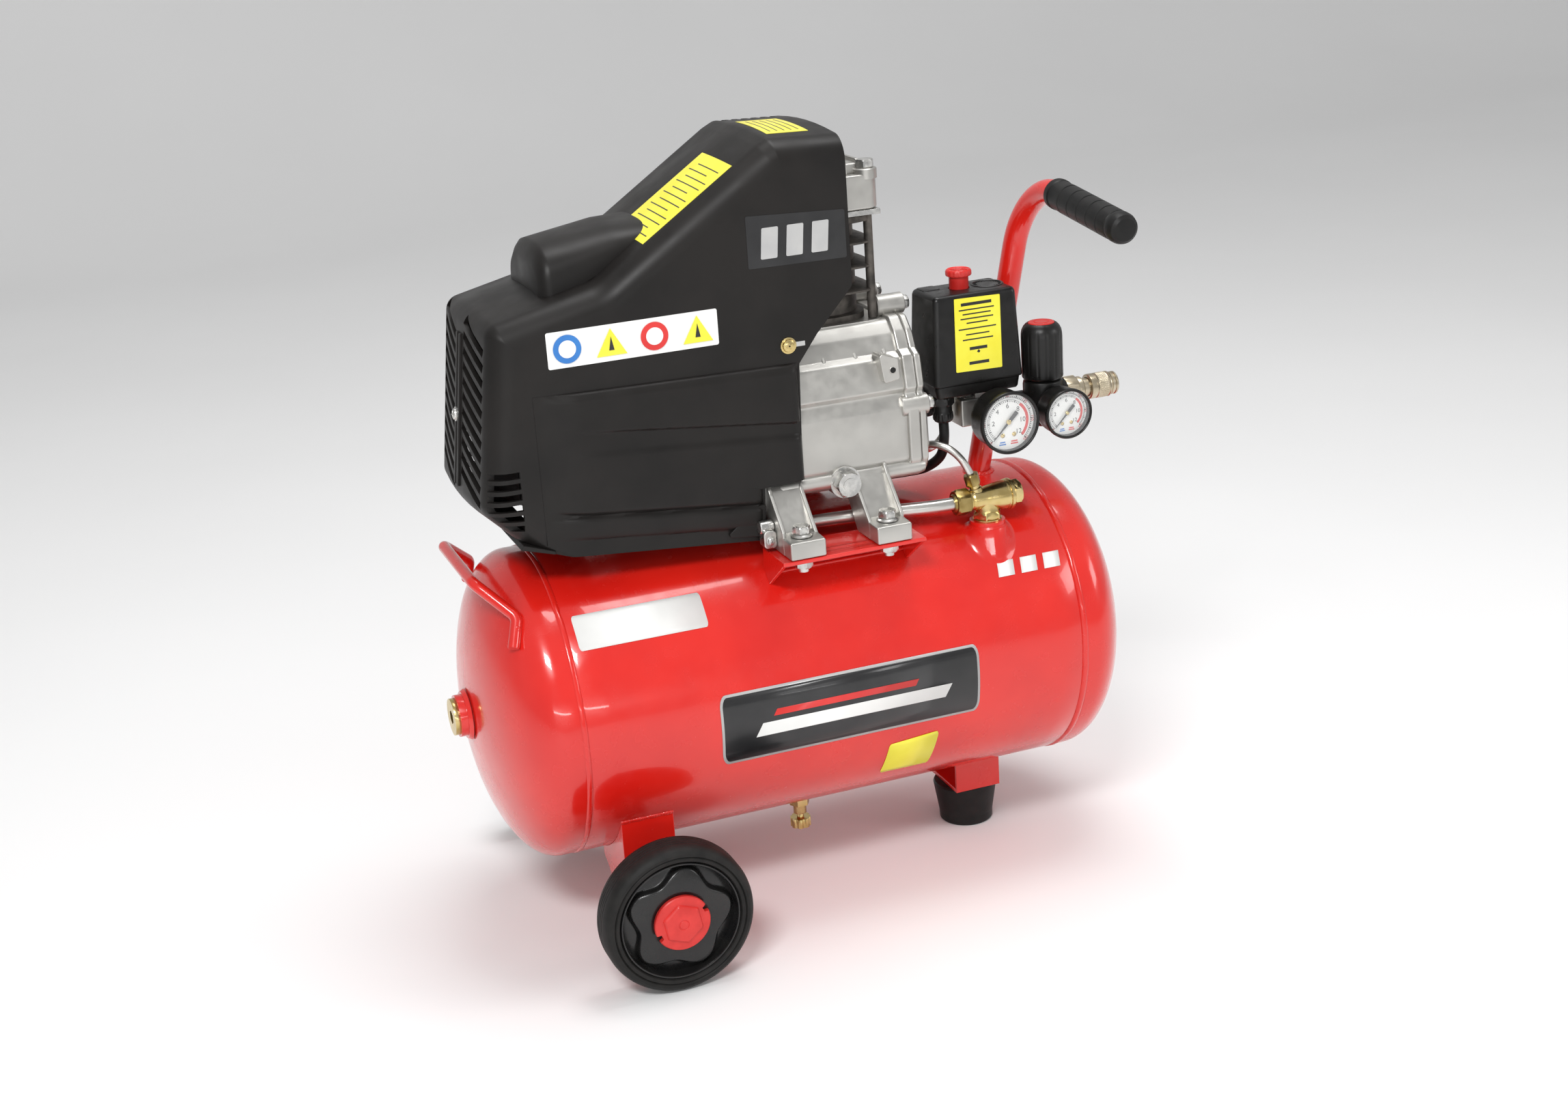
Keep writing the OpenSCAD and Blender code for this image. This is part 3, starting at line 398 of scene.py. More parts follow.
# ------------------------------------------------------------------ camera, light, floor
def camera():
    az, el, roll = (radians(v) for v in (-19.855, 18.941, -3.941))
    back = Vector((sin(az) * cos(el), -cos(az) * cos(el), sin(el)))
    right = Vector((cos(az), sin(az), 0))
    up = back.cross(right)
    r2 = cos(roll) * right + sin(roll) * up
    u2 = -sin(roll) * right + cos(roll) * up
    cam = link("camera", bpy.data.cameras.new("camera"))
    m = Matrix((r2, u2, back)).transposed().to_4x4()
    m.translation = Vector((0.00012, -0.00394, 0.26941)) + back * 1.79005
    cam.matrix_world = m
    cam.data.sensor_width = 36
    cam.data.lens = 51.27
    cam.data.clip_start = 0.05
    cam.data.clip_end = 50
    scene.camera = cam


def area(name, loc, aim, size, power, size_y):
    data = bpy.data.lights.new(name, "AREA")
    data.energy = power
    data.shape = "RECTANGLE"
    data.size = size
    data.size_y = size_y
    ob = link(name, data)
    d = Vector(aim) - Vector(loc)
    ob.matrix_world = Matrix.Translation(loc) @ d.to_track_quat("-Z", "Y").to_matrix().to_4x4()


def studio():
    """A pale floor that sweeps up into a backdrop, and large soft lights."""
    bm = bmesh.new()
    line = [(-20000, 0), (3000, 0)]
    line += [(3000 + 1500 * sin(t), 1500 - 1500 * cos(t)) for t in (pi / 2 * k / 16 for k in range(1, 17))]
    line += [(4500, 6000)]
    join(bm, [[bm.verts.new((x, y, z)) for x in (-20000, 20000)] for y, z in line], wrap=False)
    me = to_mesh("floor", bm)
    me.shade_smooth()
    floor = link("floor", me)
    pale = ((0.85, 0.85, 0.85), (0.87, 0.87, 0.87), 1.5)
    me.materials.append(material("floor", (0.86, 0.86, 0.86), 0.7, 0, pale))
    w = bpy.data.worlds.new("studio")
    w.use_nodes = True
    w.node_tree.nodes["Background"].inputs["Color"].default_value = (1, 1, 1, 1)
    w.node_tree.nodes["Background"].inputs["Strength"].default_value = 0.5
    scene.world = w
    area("key", (-1.1, -1.7, 2.1), (0, 0, 0.3), 0.8, 38, 0.4)
    area("top", (0.3, 0.2, 2.4), (0, 0, 0.3), 1.4, 27, 0.8)
    area("fill", (1.9, -1.3, 1.1), (0, 0, 0.3), 0.8, 8, 0.6)
    area("strip", (-0.7, -2.6, 0.62), (0, 0, 0.24), 2.4, 9, 0.06)
    scene.view_settings.view_transform = "Standard"
    scene.view_settings.look = "None"


camera()
studio()


# ------------------------------------------------------------------ tank
def ripple_ring(bm, r, half, proud, x, seed, lumps=64):
    """A weld bead round the tank axis at x."""
    rnd = [sin(i * 12.9898 + seed * 78.2) % 1 for i in range(lumps)]
    def shape(rr, h, a):
        k = a / TAU * lumps
        i = int(k) % lumps
        f = 0.75 + 0.25 * abs(cos(pi * (k % 1))) + 0.12 * (rnd[i] - 0.5)
        return r + (rr - r) * f, h + 0.5 * (rnd[i] - 0.5)
    prof = [(r - 1.0, -half), (r + 0.45 * proud, -half * 0.7), (r + proud, -half * 0.25),
        (r + proud, half * 0.25), (r + 0.45 * proud, half * 0.7), (r - 1.0, half)]
    lathe(bm, prof, (x, 0, TANK_Z), ALONG, 220, shape, caps=False)


def tank():
    apex = SEAM_X + SKIRT + HEAD
    head = [(TANK_R * cos(t), SEAM_X + SKIRT + HEAD * sin(t)) for t in (i * pi / 2 / 40 for i in range(1,
        41))]
    seam = [(TANK_R - 0.9, SEAM_X - 2.4), (TANK_R - 1.3, SEAM_X - 0.4), (TANK_R - 0.2, SEAM_X + 1.6),
        (TANK_R, SEAM_X + 3.2), (TANK_R, SEAM_X + SKIRT)]
    right = [(TANK_R, SEAM_X - 4.2)] + seam + head
    left = [(r, -h) for r, h in reversed(right)]
    left[0] = (0.0, -apex)
    right[-1] = (0.0, apex)
    body = [(TANK_R, -SEAM_X + 4.2 + (2 * SEAM_X - 8.4) * i / 24) for i in range(1, 24)]
    put("tank_body", lathe(bmesh.new(), left + body + right, (0, 0, TANK_Z), ALONG, 180), RED, angle=40,
        replaces=["tank_shell", "tank_heads"])
    bm = bmesh.new()
    ripple_ring(bm, TANK_R, 2.6, 0.75, -SEAM_X - 0.2, 2)
    ripple_ring(bm, TANK_R, 2.6, 0.75, SEAM_X + 0.2, 5)
    put("seam_beads", bm, RED, angle=60)
    cad("tank_bosses", RED, 0.8, 3)

    # weld flare from the valve boss down onto the tank
    def flare(r, t, a):
        y = -75 + r * sin(a)
        skin_z = TANK_Z + sqrt(TANK_R ** 2 - y * y) - 0.4
        return r, max(skin_z, skin_z + (289 - skin_z) * (1 - t) ** 2.2)
    put("boss_flare", lathe(bmesh.new(), [(14.2 + 9.5 * t, t) for t in (k / 16 for k in range(17))],
        VALVE_AT, UP, 72, flare, caps=False), RED, angle=60)
    # the lengthwise seam of the rolled shell, low at the back
    bm = bmesh.new()
    a = radians(-62)
    path = [(x, TANK_R * cos(a) * 0.998,
        TANK_Z + TANK_R * sin(a) * 0.998) for x in [(-SEAM_X + 5) + i * 4.02 for i in range(101)]]
    tube(bm, path, lambda t: 2.2 + 0.25 * sin(t * 900), 10)
    put("shell_seam", bm, RED, angle=60)


def tank_patch(name, outline, mat, lift=0.35):
    """A thin print on the tank front: outline in (x, angle) with angle in degrees above the axis."""
    bm = bmesh.new()
    vs = [bm.verts.new((p[0], p[1], 0)) for p in outline]
    bm.faces.new(vs)
    lo = min(p[1] for p in outline)
    hi = max(p[1] for p in outline)
    for i in range(1, 26):
        h = lo + (hi - lo) * i / 26
        bmesh.ops.bisect_plane(bm, geom=bm.verts[:] + bm.edges[:] + bm.faces[:], plane_co=(0, h, 0),
            plane_no=(0, 1, 0))
    for v in bm.verts:
        a = radians(v.co.y)
        v.co = Vector((v.co.x, -(TANK_R + lift) * cos(a), TANK_Z + (TANK_R + lift) * sin(a)))
    sheet = put(name, bm, mat, angle=60).modifiers.new("sheet", "SOLIDIFY")
    sheet.thickness = 0.12 * MM
    sheet.offset = 0


def tank_prints():
    tank_patch("capacity_plate", rounded(rect(-199, 36, -98, 49.5), 2, 4), WHITE)
    badge = [(-102, -16), (-102, 11), (113, 11), (113, -16)]
    tank_patch("badge_border", rounded(badge, 5, 5), GREY, 0.35)
    tank_patch("badge_face", rounded([(-100, -15), (-100, 10), (111, 10), (111, -15)], 4, 5), INK, 0.55)
    tank_patch("badge_stripe_a", [(-75, -7), (83, -7), (89, -2), (-69, -2)], WHITE, 0.75)
    tank_patch("badge_stripe_b", [(-60, 0), (58, 0), (61, 2.4), (-57, 2.4)], REDINK, 0.75)
    tank_patch("small_plate", rounded([(36, -42), (78, -42), (80, -22), (38, -24)], 2, 3), YELLOW)
    for i in range(3):
        tank_patch("plate_bar_%d" % i, [(142 + 20 * i, 33), (156 + 20 * i, 33), (158 + 20 * i, 39),
            (144 + 20 * i, 39)], WHITE)


# ------------------------------------------------------------------ wheels and chassis
def wheel(side):
    s = -1 if side == "front" else 1
    body = "wheel_" + side
    c = (WHEEL_X, s * TYRE_Y, WHEEL_R)
    ax = (0, -s, 0)   # local +Z runs inwards from the outer face
    bm = bmesh.new()
    side_prof = [(46.5, 4.5), (48.2, 1.6), (50.5, 0.9), (51.4, 1.9), (52.2, 0.9), (54.2, 1.0), (56.4, 2.4),
        (57.8, 4.6), (58.6, 7.2), (58.9, 9.0)]
    tread = []
    for k in range(4):
        y = 9.6 + k * 3.3
        tread += [(59.0, y), (59.0, y + 2.2), (58.35, y + 2.5), (58.35, y + 3.0)]
    tread += [(59.0, 22.8)]
    inner = [(r, TYRE_W - h) for r, h in reversed(side_prof)]
    lathe(bm, side_prof + tread + inner + [(46.5, TYRE_W - 4.5), (46.5, 4.5)], c, ax, 128)
    put("tyre_mesh_" + side, bm, TYRE, body, angle=28, replaces=["tyre_" + side])

    def dish(r, h, a):
        if 24 < r < 44.2 and h < 12:
            star = 37.5 + 4.6 * cos(5 * a + (0.6 if s < 0 else 0.2))
            t = step((r - star + 1.6) / 3.2)
            return r, h + t * (5.4 - 0.10 * (r - 30))
        return r, h
    prof = [(0, 2.6), (22, 2.4), (23.5, 1.9)]
    prof += [(24 + i * 0.62, 1.9 + 0.0125 * (i * 0.62) ** 2 * 0.9) for i in range(1, 33)]
    prof += [(44.3, 9.2), (44.8, 3.0), (45.3, 2.2), (46.3, 2.0), (46.9, 2.8), (46.9, 5)]
    prof += [(46.9, 27), (44, 29), (44, 18), (20, 17), (17, 20), (15.2, 40), (15, 70.5), (8, 70.5)]
    put("hub_mesh_" + side, lathe(bmesh.new(), prof, c, ax, 160, dish), HUB, body, angle=45,
        replaces=["hub_" + side])

    front = (WHEEL_X, s * (TYRE_Y - 2.4), WHEEL_R)
    out = (0, s, 0)
    notch = radians(24)
    def disc(r, h, a):
        d = min(abs((a - q + pi) % TAU - pi) for q in (notch, notch + pi))
        if r > 17 and d < 0.125:
            return min(r, 18.2), h
        return r, h
    bm = lathe(bmesh.new(), [(0, 0), (21.3, 0), (21.7, 0.6), (21.7, 3.6), (21.0, 4.4), (17, 4.5),
        (0, 4.5)], front, out, 180, disc)
    hex_m = [(15.4, 4.3), (15.2, 4.9), (13.9, 6.7), (13.3, 6.9), (4.2, 6.9), (3.9, 6.5), (3.4, 6.5),
        (3.1, 6.9), (0, 6.9)]
    def hexed(r, h, a):
        t = ((a + 0.35) % (TAU / 6)) - TAU / 12
        return (r / cos(t) * 0.93 if r > 8 else r), h
    lathe(bm, [(15.4, 3.0)] + hex_m, front, out, 96, hexed)
    put("cap_mesh_" + side, bm, REDP, body, angle=38, replaces=["cap_" + side])


def weld_line(name, pts, r, seed=0):
    """A short hand-laid weld bead along points."""
    path = smooth_path(pts, 10)
    put(name,
        tube(bmesh.new(), path, lambda t: r * (0.8 + 0.2 * abs(sin(t * 60 + seed)) + 0.1 * sin(t * 23)),
        10), RED, angle=60)


def chassis():
    for n in ("wheel_brackets", "foot_bracket", "pump_brackets"):
        cad(n, RED, 0.9)
    cad("chassis_bolts", ZINC, 0.5)
    for n in ("inspection_plug", "drain_cock_body", "drain_cock_screw"):
        cad(n, BRASS, 0.4)
    for s in (-1, 1):
        pts = [(WHEEL_X - 20 + i * 6, s * 99, TANK_Z - sqrt(TANK_R ** 2 - 99 ** 2) + 0.8) for i in range(8)]
        weld_line("wheel_weld_%d" % (s > 0), pts, 2.0, s)
        pts = [(x, s * 77, TANK_Z + sqrt(TANK_R ** 2 - 76.2 ** 2) + 0.5) for x in (-40, -14, 14, 44, 73)]
        weld_line("shelf_weld_%d" % (s > 0), pts, 1.6, s + 3)
    put("foot_mesh", lathe(bmesh.new(), rounded([(0, 0.0), (10, 0.0), (21.0, 0.0), (22.5, 1.5), (22.8, 8),
        (26.2, 29), (27, 34), (26, 36), (0, 36)], 0.6, 2, closed=False), (152, 0, 0), UP, 72), RUBBER,
        angle=30, replaces=["rubber_foot"])


def bail():
    path = [(-244, -80, 262), (-236, -67, 281), (-260, -42, 304), (-260, 62, 304), (-236, 84, 280),
        (-238, 92, 262)]
    pts = [tuple(p) for p in rounded(path, [0, 9, 14, 14, 9, 0], 8, closed=False)]
    put("bail_mesh", tube(bmesh.new(), pts, 4.5, 24), RED, angle=60, replaces=["tow_bail"])
    weld_line("bail_weld_a", [(-241, -78, 268), (-238, -73, 276)], 2.6, 1)
    weld_line("bail_weld_b", [(-236, 91, 268), (-234, 88, 276)], 2.6, 4)


def handle():
    lean = radians(12.3)
    base = Vector((172, 0, 290))
    rot = Matrix.Rotation(lean, 4, "Y")
    def at(p):
        return base + rot @ Vector(p)
    L, R = 204, 50
    path = [at((0, 0, 12 + i * 8)) for i in range(25)]
    path = [p for p in path if (p - base).length < L - 4]
    for i in range(0, 33):
        a = radians(96 * i / 32)
        path.append(at((0, -R + R * cos(a), L + R * sin(a))))
    a = radians(96)
    d = (rot @ Vector((0, -sin(a), cos(a)))).normalized()
    end = path[-1]
    path += [end + d * 6, end + d * 100]
    put("handle_mesh", tube(bmesh.new(), path, 9.5, 40), RED, angle=60, replaces=["handle_tube"])
    prof = [(9.4, 0.6), (11.2, 0.2), (12.0, 1.0), (12.2, 3.0), (12.2, 6.0), (11.6, 6.8), (11.4, 8.0)]
    for i in range(5):
        z = 24 + i * 15.5
        prof += [(11.9, z - 5), (11.95, z - 0.9), (11.0, z - 0.35), (11.0, z + 0.35), (11.95, z + 0.9)]
    prof += [(11.9, 97), (11.7, 99), (10.9, 99.7), (11.7, 100.4), (12.1, 102), (12.0, 107), (11.0, 110.3),
        (8.6, 112.3), (4.0, 112.9), (0, 112.9)]
    put("grip_mesh", lathe(bmesh.new(), prof, end, d, 64), RUBBER, angle=30, replaces=["handle_grip"])
    weld = []
    for i in range(13):
        t = i * TAU / 12
        z = TANK_Z - 290 + sqrt(TANK_R ** 2 - (11 * sin(t)) ** 2)
        weld.append(base + Vector((4 + 11 * cos(t), 11 * sin(t), z)))
    weld_line("handle_weld", weld, 2.2)


tank()
tank_prints()
wheel("front")
wheel("rear")
chassis()
bail()
handle()


# ------------------------------------------------------------------ shroud
ROOF = [(-256, 362), (-238, 501.2), (-150, 521), (-22, 606), (-12, 611)]
ROOF_R = [16, 15, 34, 26, 12]
OPEN_SIDE = [(43, 494), (13, 462), (-3, 441), (-6, 351), (-37, 351), (-39, 308), (-190, 322)]
OPEN_R = [5, 5, 1, 0, 0, 0, 22]
SHROUD_Y, EDGE_R, CROWN, WALL = 75, 19, 3, 3
END_LEAN = atan2(17, 132)


def inset(outline, radii, d):
    """A closed outline moved inwards by d and rounded; it runs clockwise seen with x right, z up."""
    n = len(outline)
    P = [Vector(p) for p in outline]
    pts, rs = [], []
    for i in range(n):
        u = (P[i] - P[i - 1]).normalized()
        v = (P[(i + 1) % n] - P[i]).normalized()
        nu, nv = Vector((u.y, -u.x)), Vector((v.y, -v.x))
        pts.append(tuple(P[i] + (nu + nv) * (d / (1 + nu.dot(nv)))))
        convex = u.x * v.y - u.y * v.x < 0
        rs.append(max(radii[i] - d, 0.4) if convex else radii[i] + d)
    return rounded(pts, rs, 7)


def pillow(bm, outline, radii, off, half):
    """A closed slab along y with a slightly crowned rim, large edge fillets and a flat support ring."""
    flat = half - EDGE_R
    levels = [(flat * k / 3, CROWN * (k / 3) ** 2) for k in range(3)]
    levels += [(flat + EDGE_R * sin(t),
        CROWN + EDGE_R * (1 - cos(t))) for t in (pi / 2 * k / 9 for k in range(10))]
    levels.append((half, CROWN + EDGE_R + 1.5))
    levels = [(-y, d) for y, d in reversed(levels[1:])] + levels
    rings = [[bm.verts.new((x, y, z)) for x, z in inset(outline, radii, off + d)] for y, d in levels]
    join(bm, rings, caps=True)


def shroud():
    ext = ROOF + [(90, 607.2), (90, 250), (-144, 250)]
    radii = ROOF_R + [1, 1, 1]
    bm = bmesh.new()
    pillow(bm, ext, radii, 0, SHROUD_Y)
    ob = put("shroud_shell", bm, SHROUD, angle=32)
    bm = bmesh.new()
    pillow(bm, ext, radii, WALL, SHROUD_Y - WALL)
    cut(ob, bm)
    bm = bmesh.new()
    rest = [(43, 660)] + rounded([(43, 560)] + OPEN_SIDE + [(-228, 334), (-262, 300)],
        [0] + OPEN_R + [0, 0], 5, False) + [(-262, 200), (140, 200), (140, 660)]
    prism(bm, rest, -120, 120)
    cut(ob, bm)
    louvres(ob)
    ob.data.shade_smooth()
    ob.data.set_sharp_from_angle(angle=radians(30))
    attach(ob, "frame")
    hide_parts("shroud")
    # a turned-in lip under the left corner
    put("shroud_lip", prism(bmesh.new(), [(-229, 333.8), (-203, 325.9), (-203, 328.9), (-226, 337)],
        -SHROUD_Y + 1, SHROUD_Y - 1), SHROUD, bevel=0.8)
    for side in (-1, 1):
        casing(side)


def louvres(ob):
    """Slanted slots in the end face, six slots low on each side and a row in the rear top."""
    bm = bmesh.new()
    for side in (-1, 1):
        for i in range(11):
            z = 376 + i * 11.2
            m = (Matrix.Translation((-256 + (z - 362) * tan(END_LEAN), side * 34,
                z)) @ Matrix.Rotation(0.34, 4, "X"))
            box(bm, (-9, -25, -3.3), (9, 25, 3.3), m)
        for i in range(6):
            box(bm, (-262, side * 75 - 6, 347.5 + i * 8.2), (-224, side * 75 + 9, 352.5 + i * 8.2))
    for i in range(6):
        box(bm, (-8 + 8 * i, 44, 596), (-3.6 + 8 * i, 66, 620))
    cut(ob, bm)


def casing(side):
    """The fuller lower part of a side: rounded along its top and right edge, with long steps."""
    left, right, short, split = -209, -5, -39.5, 0.31

    def low(x):
        return max(334 - 0.63 * (x - left), 324.2 - 0.0975 * (min(x, short) + 196))

    def high(x):
        return 446.5 - 0.022 * (x - left)

    def depth(x, z, end):
        d = 5.0 * step((x - left) / 34) * min(1, max(0, (high(x) - z) / 6)) ** 0.5
        d *= min(1, max(0, (end - x) / 5)) ** 0.5
        fade = step((x + 190) / 60)
        upper = 420 - 22 * (x + 200) / 190
        lower = 397 - 13 * (x + 184) / 172
        d -= 2.6 * fade * step((upper - z) / 1.8) * step((z - lower) / 4.5)
        bar = 356 - 0.113 * (x - left)
        gap = (z - bar) / 2.2
        d -= 3.2 * step((x - left) / 14) * exp(-gap * gap)
        if z < bar:
            d *= sqrt(max(0.0, 1 - max(0.0, (bar - z) / 17 - 0.1) ** 2))
        return max(d, 0.1)
    bm = bmesh.new()
    nz, nx = 104, 78
    rows = []
    for j in range(nz + 1):
        t = j / nz
        end = right if t > split else short
        row = []
        for i in range(nx + 1):
            x = left + (end - left) * i / nx
            z = low(x) + (high(x) - low(x)) * t
            row.append(bm.verts.new((x, side * (SHROUD_Y + 0.15 + depth(x, z, end)), z)))
        rows.append(row)
    join(bm, rows, wrap=False)
    rim = rows[0] + [row[-1] for row in rows[1:]] + rows[-1][-2::-1] + [row[0] for row in rows[-2:0:-1]]
    back = [bm.verts.new((v.co.x, side * (SHROUD_Y - 2), v.co.z)) for v in rim]
    join(bm, [rim, back])
    put("casing_" + ("rear" if side > 0 else "front"), bm, SHROUD, angle=46)


def shroud_parts():
    # hump over the capacitor
    bm = bmesh.new()
    n_u, n_v = 30, 28
    rings = []
    for j in range(n_v + 1):
        t = j / n_v
        x = -188 + 92 * t
        top = 545 + 9 * min(1, t * 1.5)
        half = 46 - 4 * t ** 2
        if t < 0.08:
            k = t / 0.08
            top -= 10 * (1 - sin(k * pi / 2))
            half -= 6 * (1 - sin(k * pi / 2))
        base = 503 + (x + 188) * 0.44
        ring = []
        for i in range(n_u + 1):
            a = pi * i / n_u
            c, s = cos(a), sin(a)
            y = half * copysign(abs(c) ** 0.75, c)
            z = base + (top - base) * abs(s) ** 0.62
            ring.append(bm.verts.new((x, y, z)))
        rings.append(ring)
    join(bm, rings, wrap=False, caps=True)
    put("shroud_hump", bm, SHROUD, angle=50)

    # middle bar of the grille with its screw
    bm = bmesh.new()
    for y in (-4.2, 4.2):
        m = Matrix.Translation((-256, y, 362)) @ Matrix.Rotation(END_LEAN, 4, "Y")
        box(bm, (-1.6, -2.4, 8), (2.5, 2.4, 124), m)
    put("grille_bars", bm, SHROUD, bevel=0.8)
    bm = bmesh.new()
    c = Vector((-250.0, 0, 424))
    out = Vector((-0.992, 0, 0.128))
    pan_head(bm, c, out, 4.4)
    put("grille_screw", bm, ZINC, angle=35)
    cad("shroud_screws", BRASS)
    for side in (-1, 1):
        bm = bmesh.new()
        pan_head(bm, (-11, side * 75.4, 456), (0, side, 0), 5.0)
        put("side_screw_%d" % (side > 0), bm, BRASS, angle=35)
        put("side_slot_%d" % (side > 0), box(bmesh.new(), (-6.5, side * 75 - 0.4, 454.2),
            (2.5, side * 75 + 0.4, 457.8)), GREY, bevel=0.3)
    # the flap at the lower right corner
    for side in (-1, 1):
        put("shroud_flap_%d" % (side > 0), prism(bmesh.new(),
            rounded([(-72, 316), (-40, 312), (-38, 338), (-47, 336)], 2, 3), side * 73, side * 78), SHROUD,
            bevel=1.2)


def pan_head(bm, origin, axis, r):
    """A pan head screw with a cross recess and a washer."""
    lathe(bm, [(0, -1), (r * 1.25, -1), (r * 1.25, 0.5), (r, 0.7), (r, 1.0), (r * 0.92, 1.9),
        (r * 0.6, 2.6), (0, 2.8)], origin, axis, 32)
    m = frame_to(origin, axis)
    for k in range(2):
        box(bm, (-r * 0.55, -r * 0.12, 2.55), (r * 0.55, r * 0.12, 2.95),
            m @ Matrix.Rotation(k * pi / 2 + 0.4, 4, "Z"))


def crown_drop(y):
    """How far the crowned roof lies below its middle line at y."""
    flat = SHROUD_Y - EDGE_R
    if abs(y) <= flat:
        return CROWN * (y / flat) ** 2
    return CROWN + EDGE_R - sqrt(EDGE_R ** 2 - (abs(y) - flat) ** 2)


def slope_point(u, y, lift):
    """A point on the shroud's slope: u in mm up the slope from its foot."""
    d = Vector((128, 0, 85)).normalized()
    nrm = Vector((-d.z, 0, d.x))
    return Vector((-150, y, 521)) + d * u + nrm * (lift - crown_drop(y))


def top_point(x, y, lift):
    return Vector((x, y, 611 - (x + 12) * 0.0373 + lift - crown_drop(y)))


def roof_label(name, at, box_2d, mat, lift=0.15, thick=0.3):
    """A label that follows the roof: at(u, y, lift) gives its surface."""
    u0, u1, y0, y1 = box_2d
    bm = bmesh.new()
    rows = []
    for k in range(9):
        y = y0 + (y1 - y0) * k / 8
        rows.append([bm.verts.new(at(u, y, h)) for u,
            h in ((u0, lift), (u1, lift), (u1, lift - thick), (u0, lift - thick))])
    join(bm, rows, caps=True)
    put(name, bm, mat, angle=40)


def plate(name, corners, mat, thick=0.35, r=1.5):
    """A thin label on four corners in the same plane."""
    P = [Vector(c) for c in corners]
    u = (P[1] - P[0]).normalized()
    n = (P[1] - P[0]).cross(P[3] - P[0]).normalized()
    v = n.cross(u)
    flat = [((p - P[0]).dot(u), (p - P[0]).dot(v)) for p in P]
    bm = bmesh.new()
    pts = rounded(flat, r, 4) if r else flat
    join(bm, [[bm.verts.new(P[0] + u * a + v * b + n * t) for a, b in pts] for t in (0, thick)], caps=True)
    put(name, bm, mat, angle=30)


def shroud_labels():
    y = -75.25
    plate("wide_label", [(-195, y, 465), (-195, y, 492), (-65, y, 492), (-65, y, 465)], WHITE)
    for i in range(4):
        x = -180 + i * 33
        bm = bmesh.new()
        if i in (0, 2):
            rod(bm, 10.5, 0, 0.4, (x, y - 0.2, 478.5), FRONT, 40)
        else:
            prism(bm, [(x - 11.5, 469), (x + 11.5, 469), (x, 489)], y - 0.6, y - 0.2)
        put("sign_%d" % i, bm, (BLUE, YELLOW, REDINK, YELLOW)[i], angle=30)
        bm = bmesh.new()
        if i in (0, 2):
            rod(bm, 6.5, 0, 0.3, (x, y - 0.55, 478.5), FRONT, 32)
        else:
            prism(bm, [(x - 2, 473), (x + 2, 473), (x, 483)], y - 0.9, y - 0.5)
        put("sign_core_%d" % i, bm, WHITE if i in (0, 2) else INK, angle=30)
    plate("power_badge", [(-38, y, 517), (-38, y, 556), (40, y, 552), (40, y, 516)], INK)
    for i in range(3):
        x = -28 + i * 20
        plate("badge_block_%d" % i, [(x, y - 0.3, 523), (x + 2, y - 0.3, 546), (x + 15, y - 0.3, 546),
            (x + 13, y - 0.3, 523)], GREY, 0.3, 1)
    roof_label("slope_label", slope_point, (44, 131, -58, 2), YELLOW)
    for i in range(12):
        u = 50 + i * 6.4
        roof_label("slope_line_%d" % i, slope_point,
            (u, u + 0.9, -52 + 10 * (i % 3 == 1), -6 - 6 * (i % 2)), INK, 0.28, 0.2)
    roof_label("top_label", top_point, (-6, 27, -45, 22), YELLOW)
    for i in range(5):
        roof_label("top_line_%d" % i, top_point, (-1 + i * 5.6, -0.1 + i * 5.6, -38, 14), INK, 0.28, 0.2)


# ------------------------------------------------------------------ pump
CASE = [(-40, 456), (-50, 446), (-56, 434), (-63, 430), (-68, 407), (-65, 402), (-71, 393), (-72, 352),
    (-66, 340)]
CASE += [(-y, z) for y, z in reversed(CASE)]
CASE_R = [8, 12, 3, 5, 3, 2.5, 5, 8, 8]
CASE_R += CASE_R[::-1]
LUGS = [(-27, 464), (-66, 392), (-40, 345), (27, 464), (66, 392), (40, 345)]


def grown(outline, d):
    """The outline pushed outwards from the shaft by d."""
    out = []
    for y, z in outline:
        v = Vector((y, z - SHAFT_Z))
        v += v.normalized() * d
        out.append((v.x, v.y + SHAFT_Z))
    return out


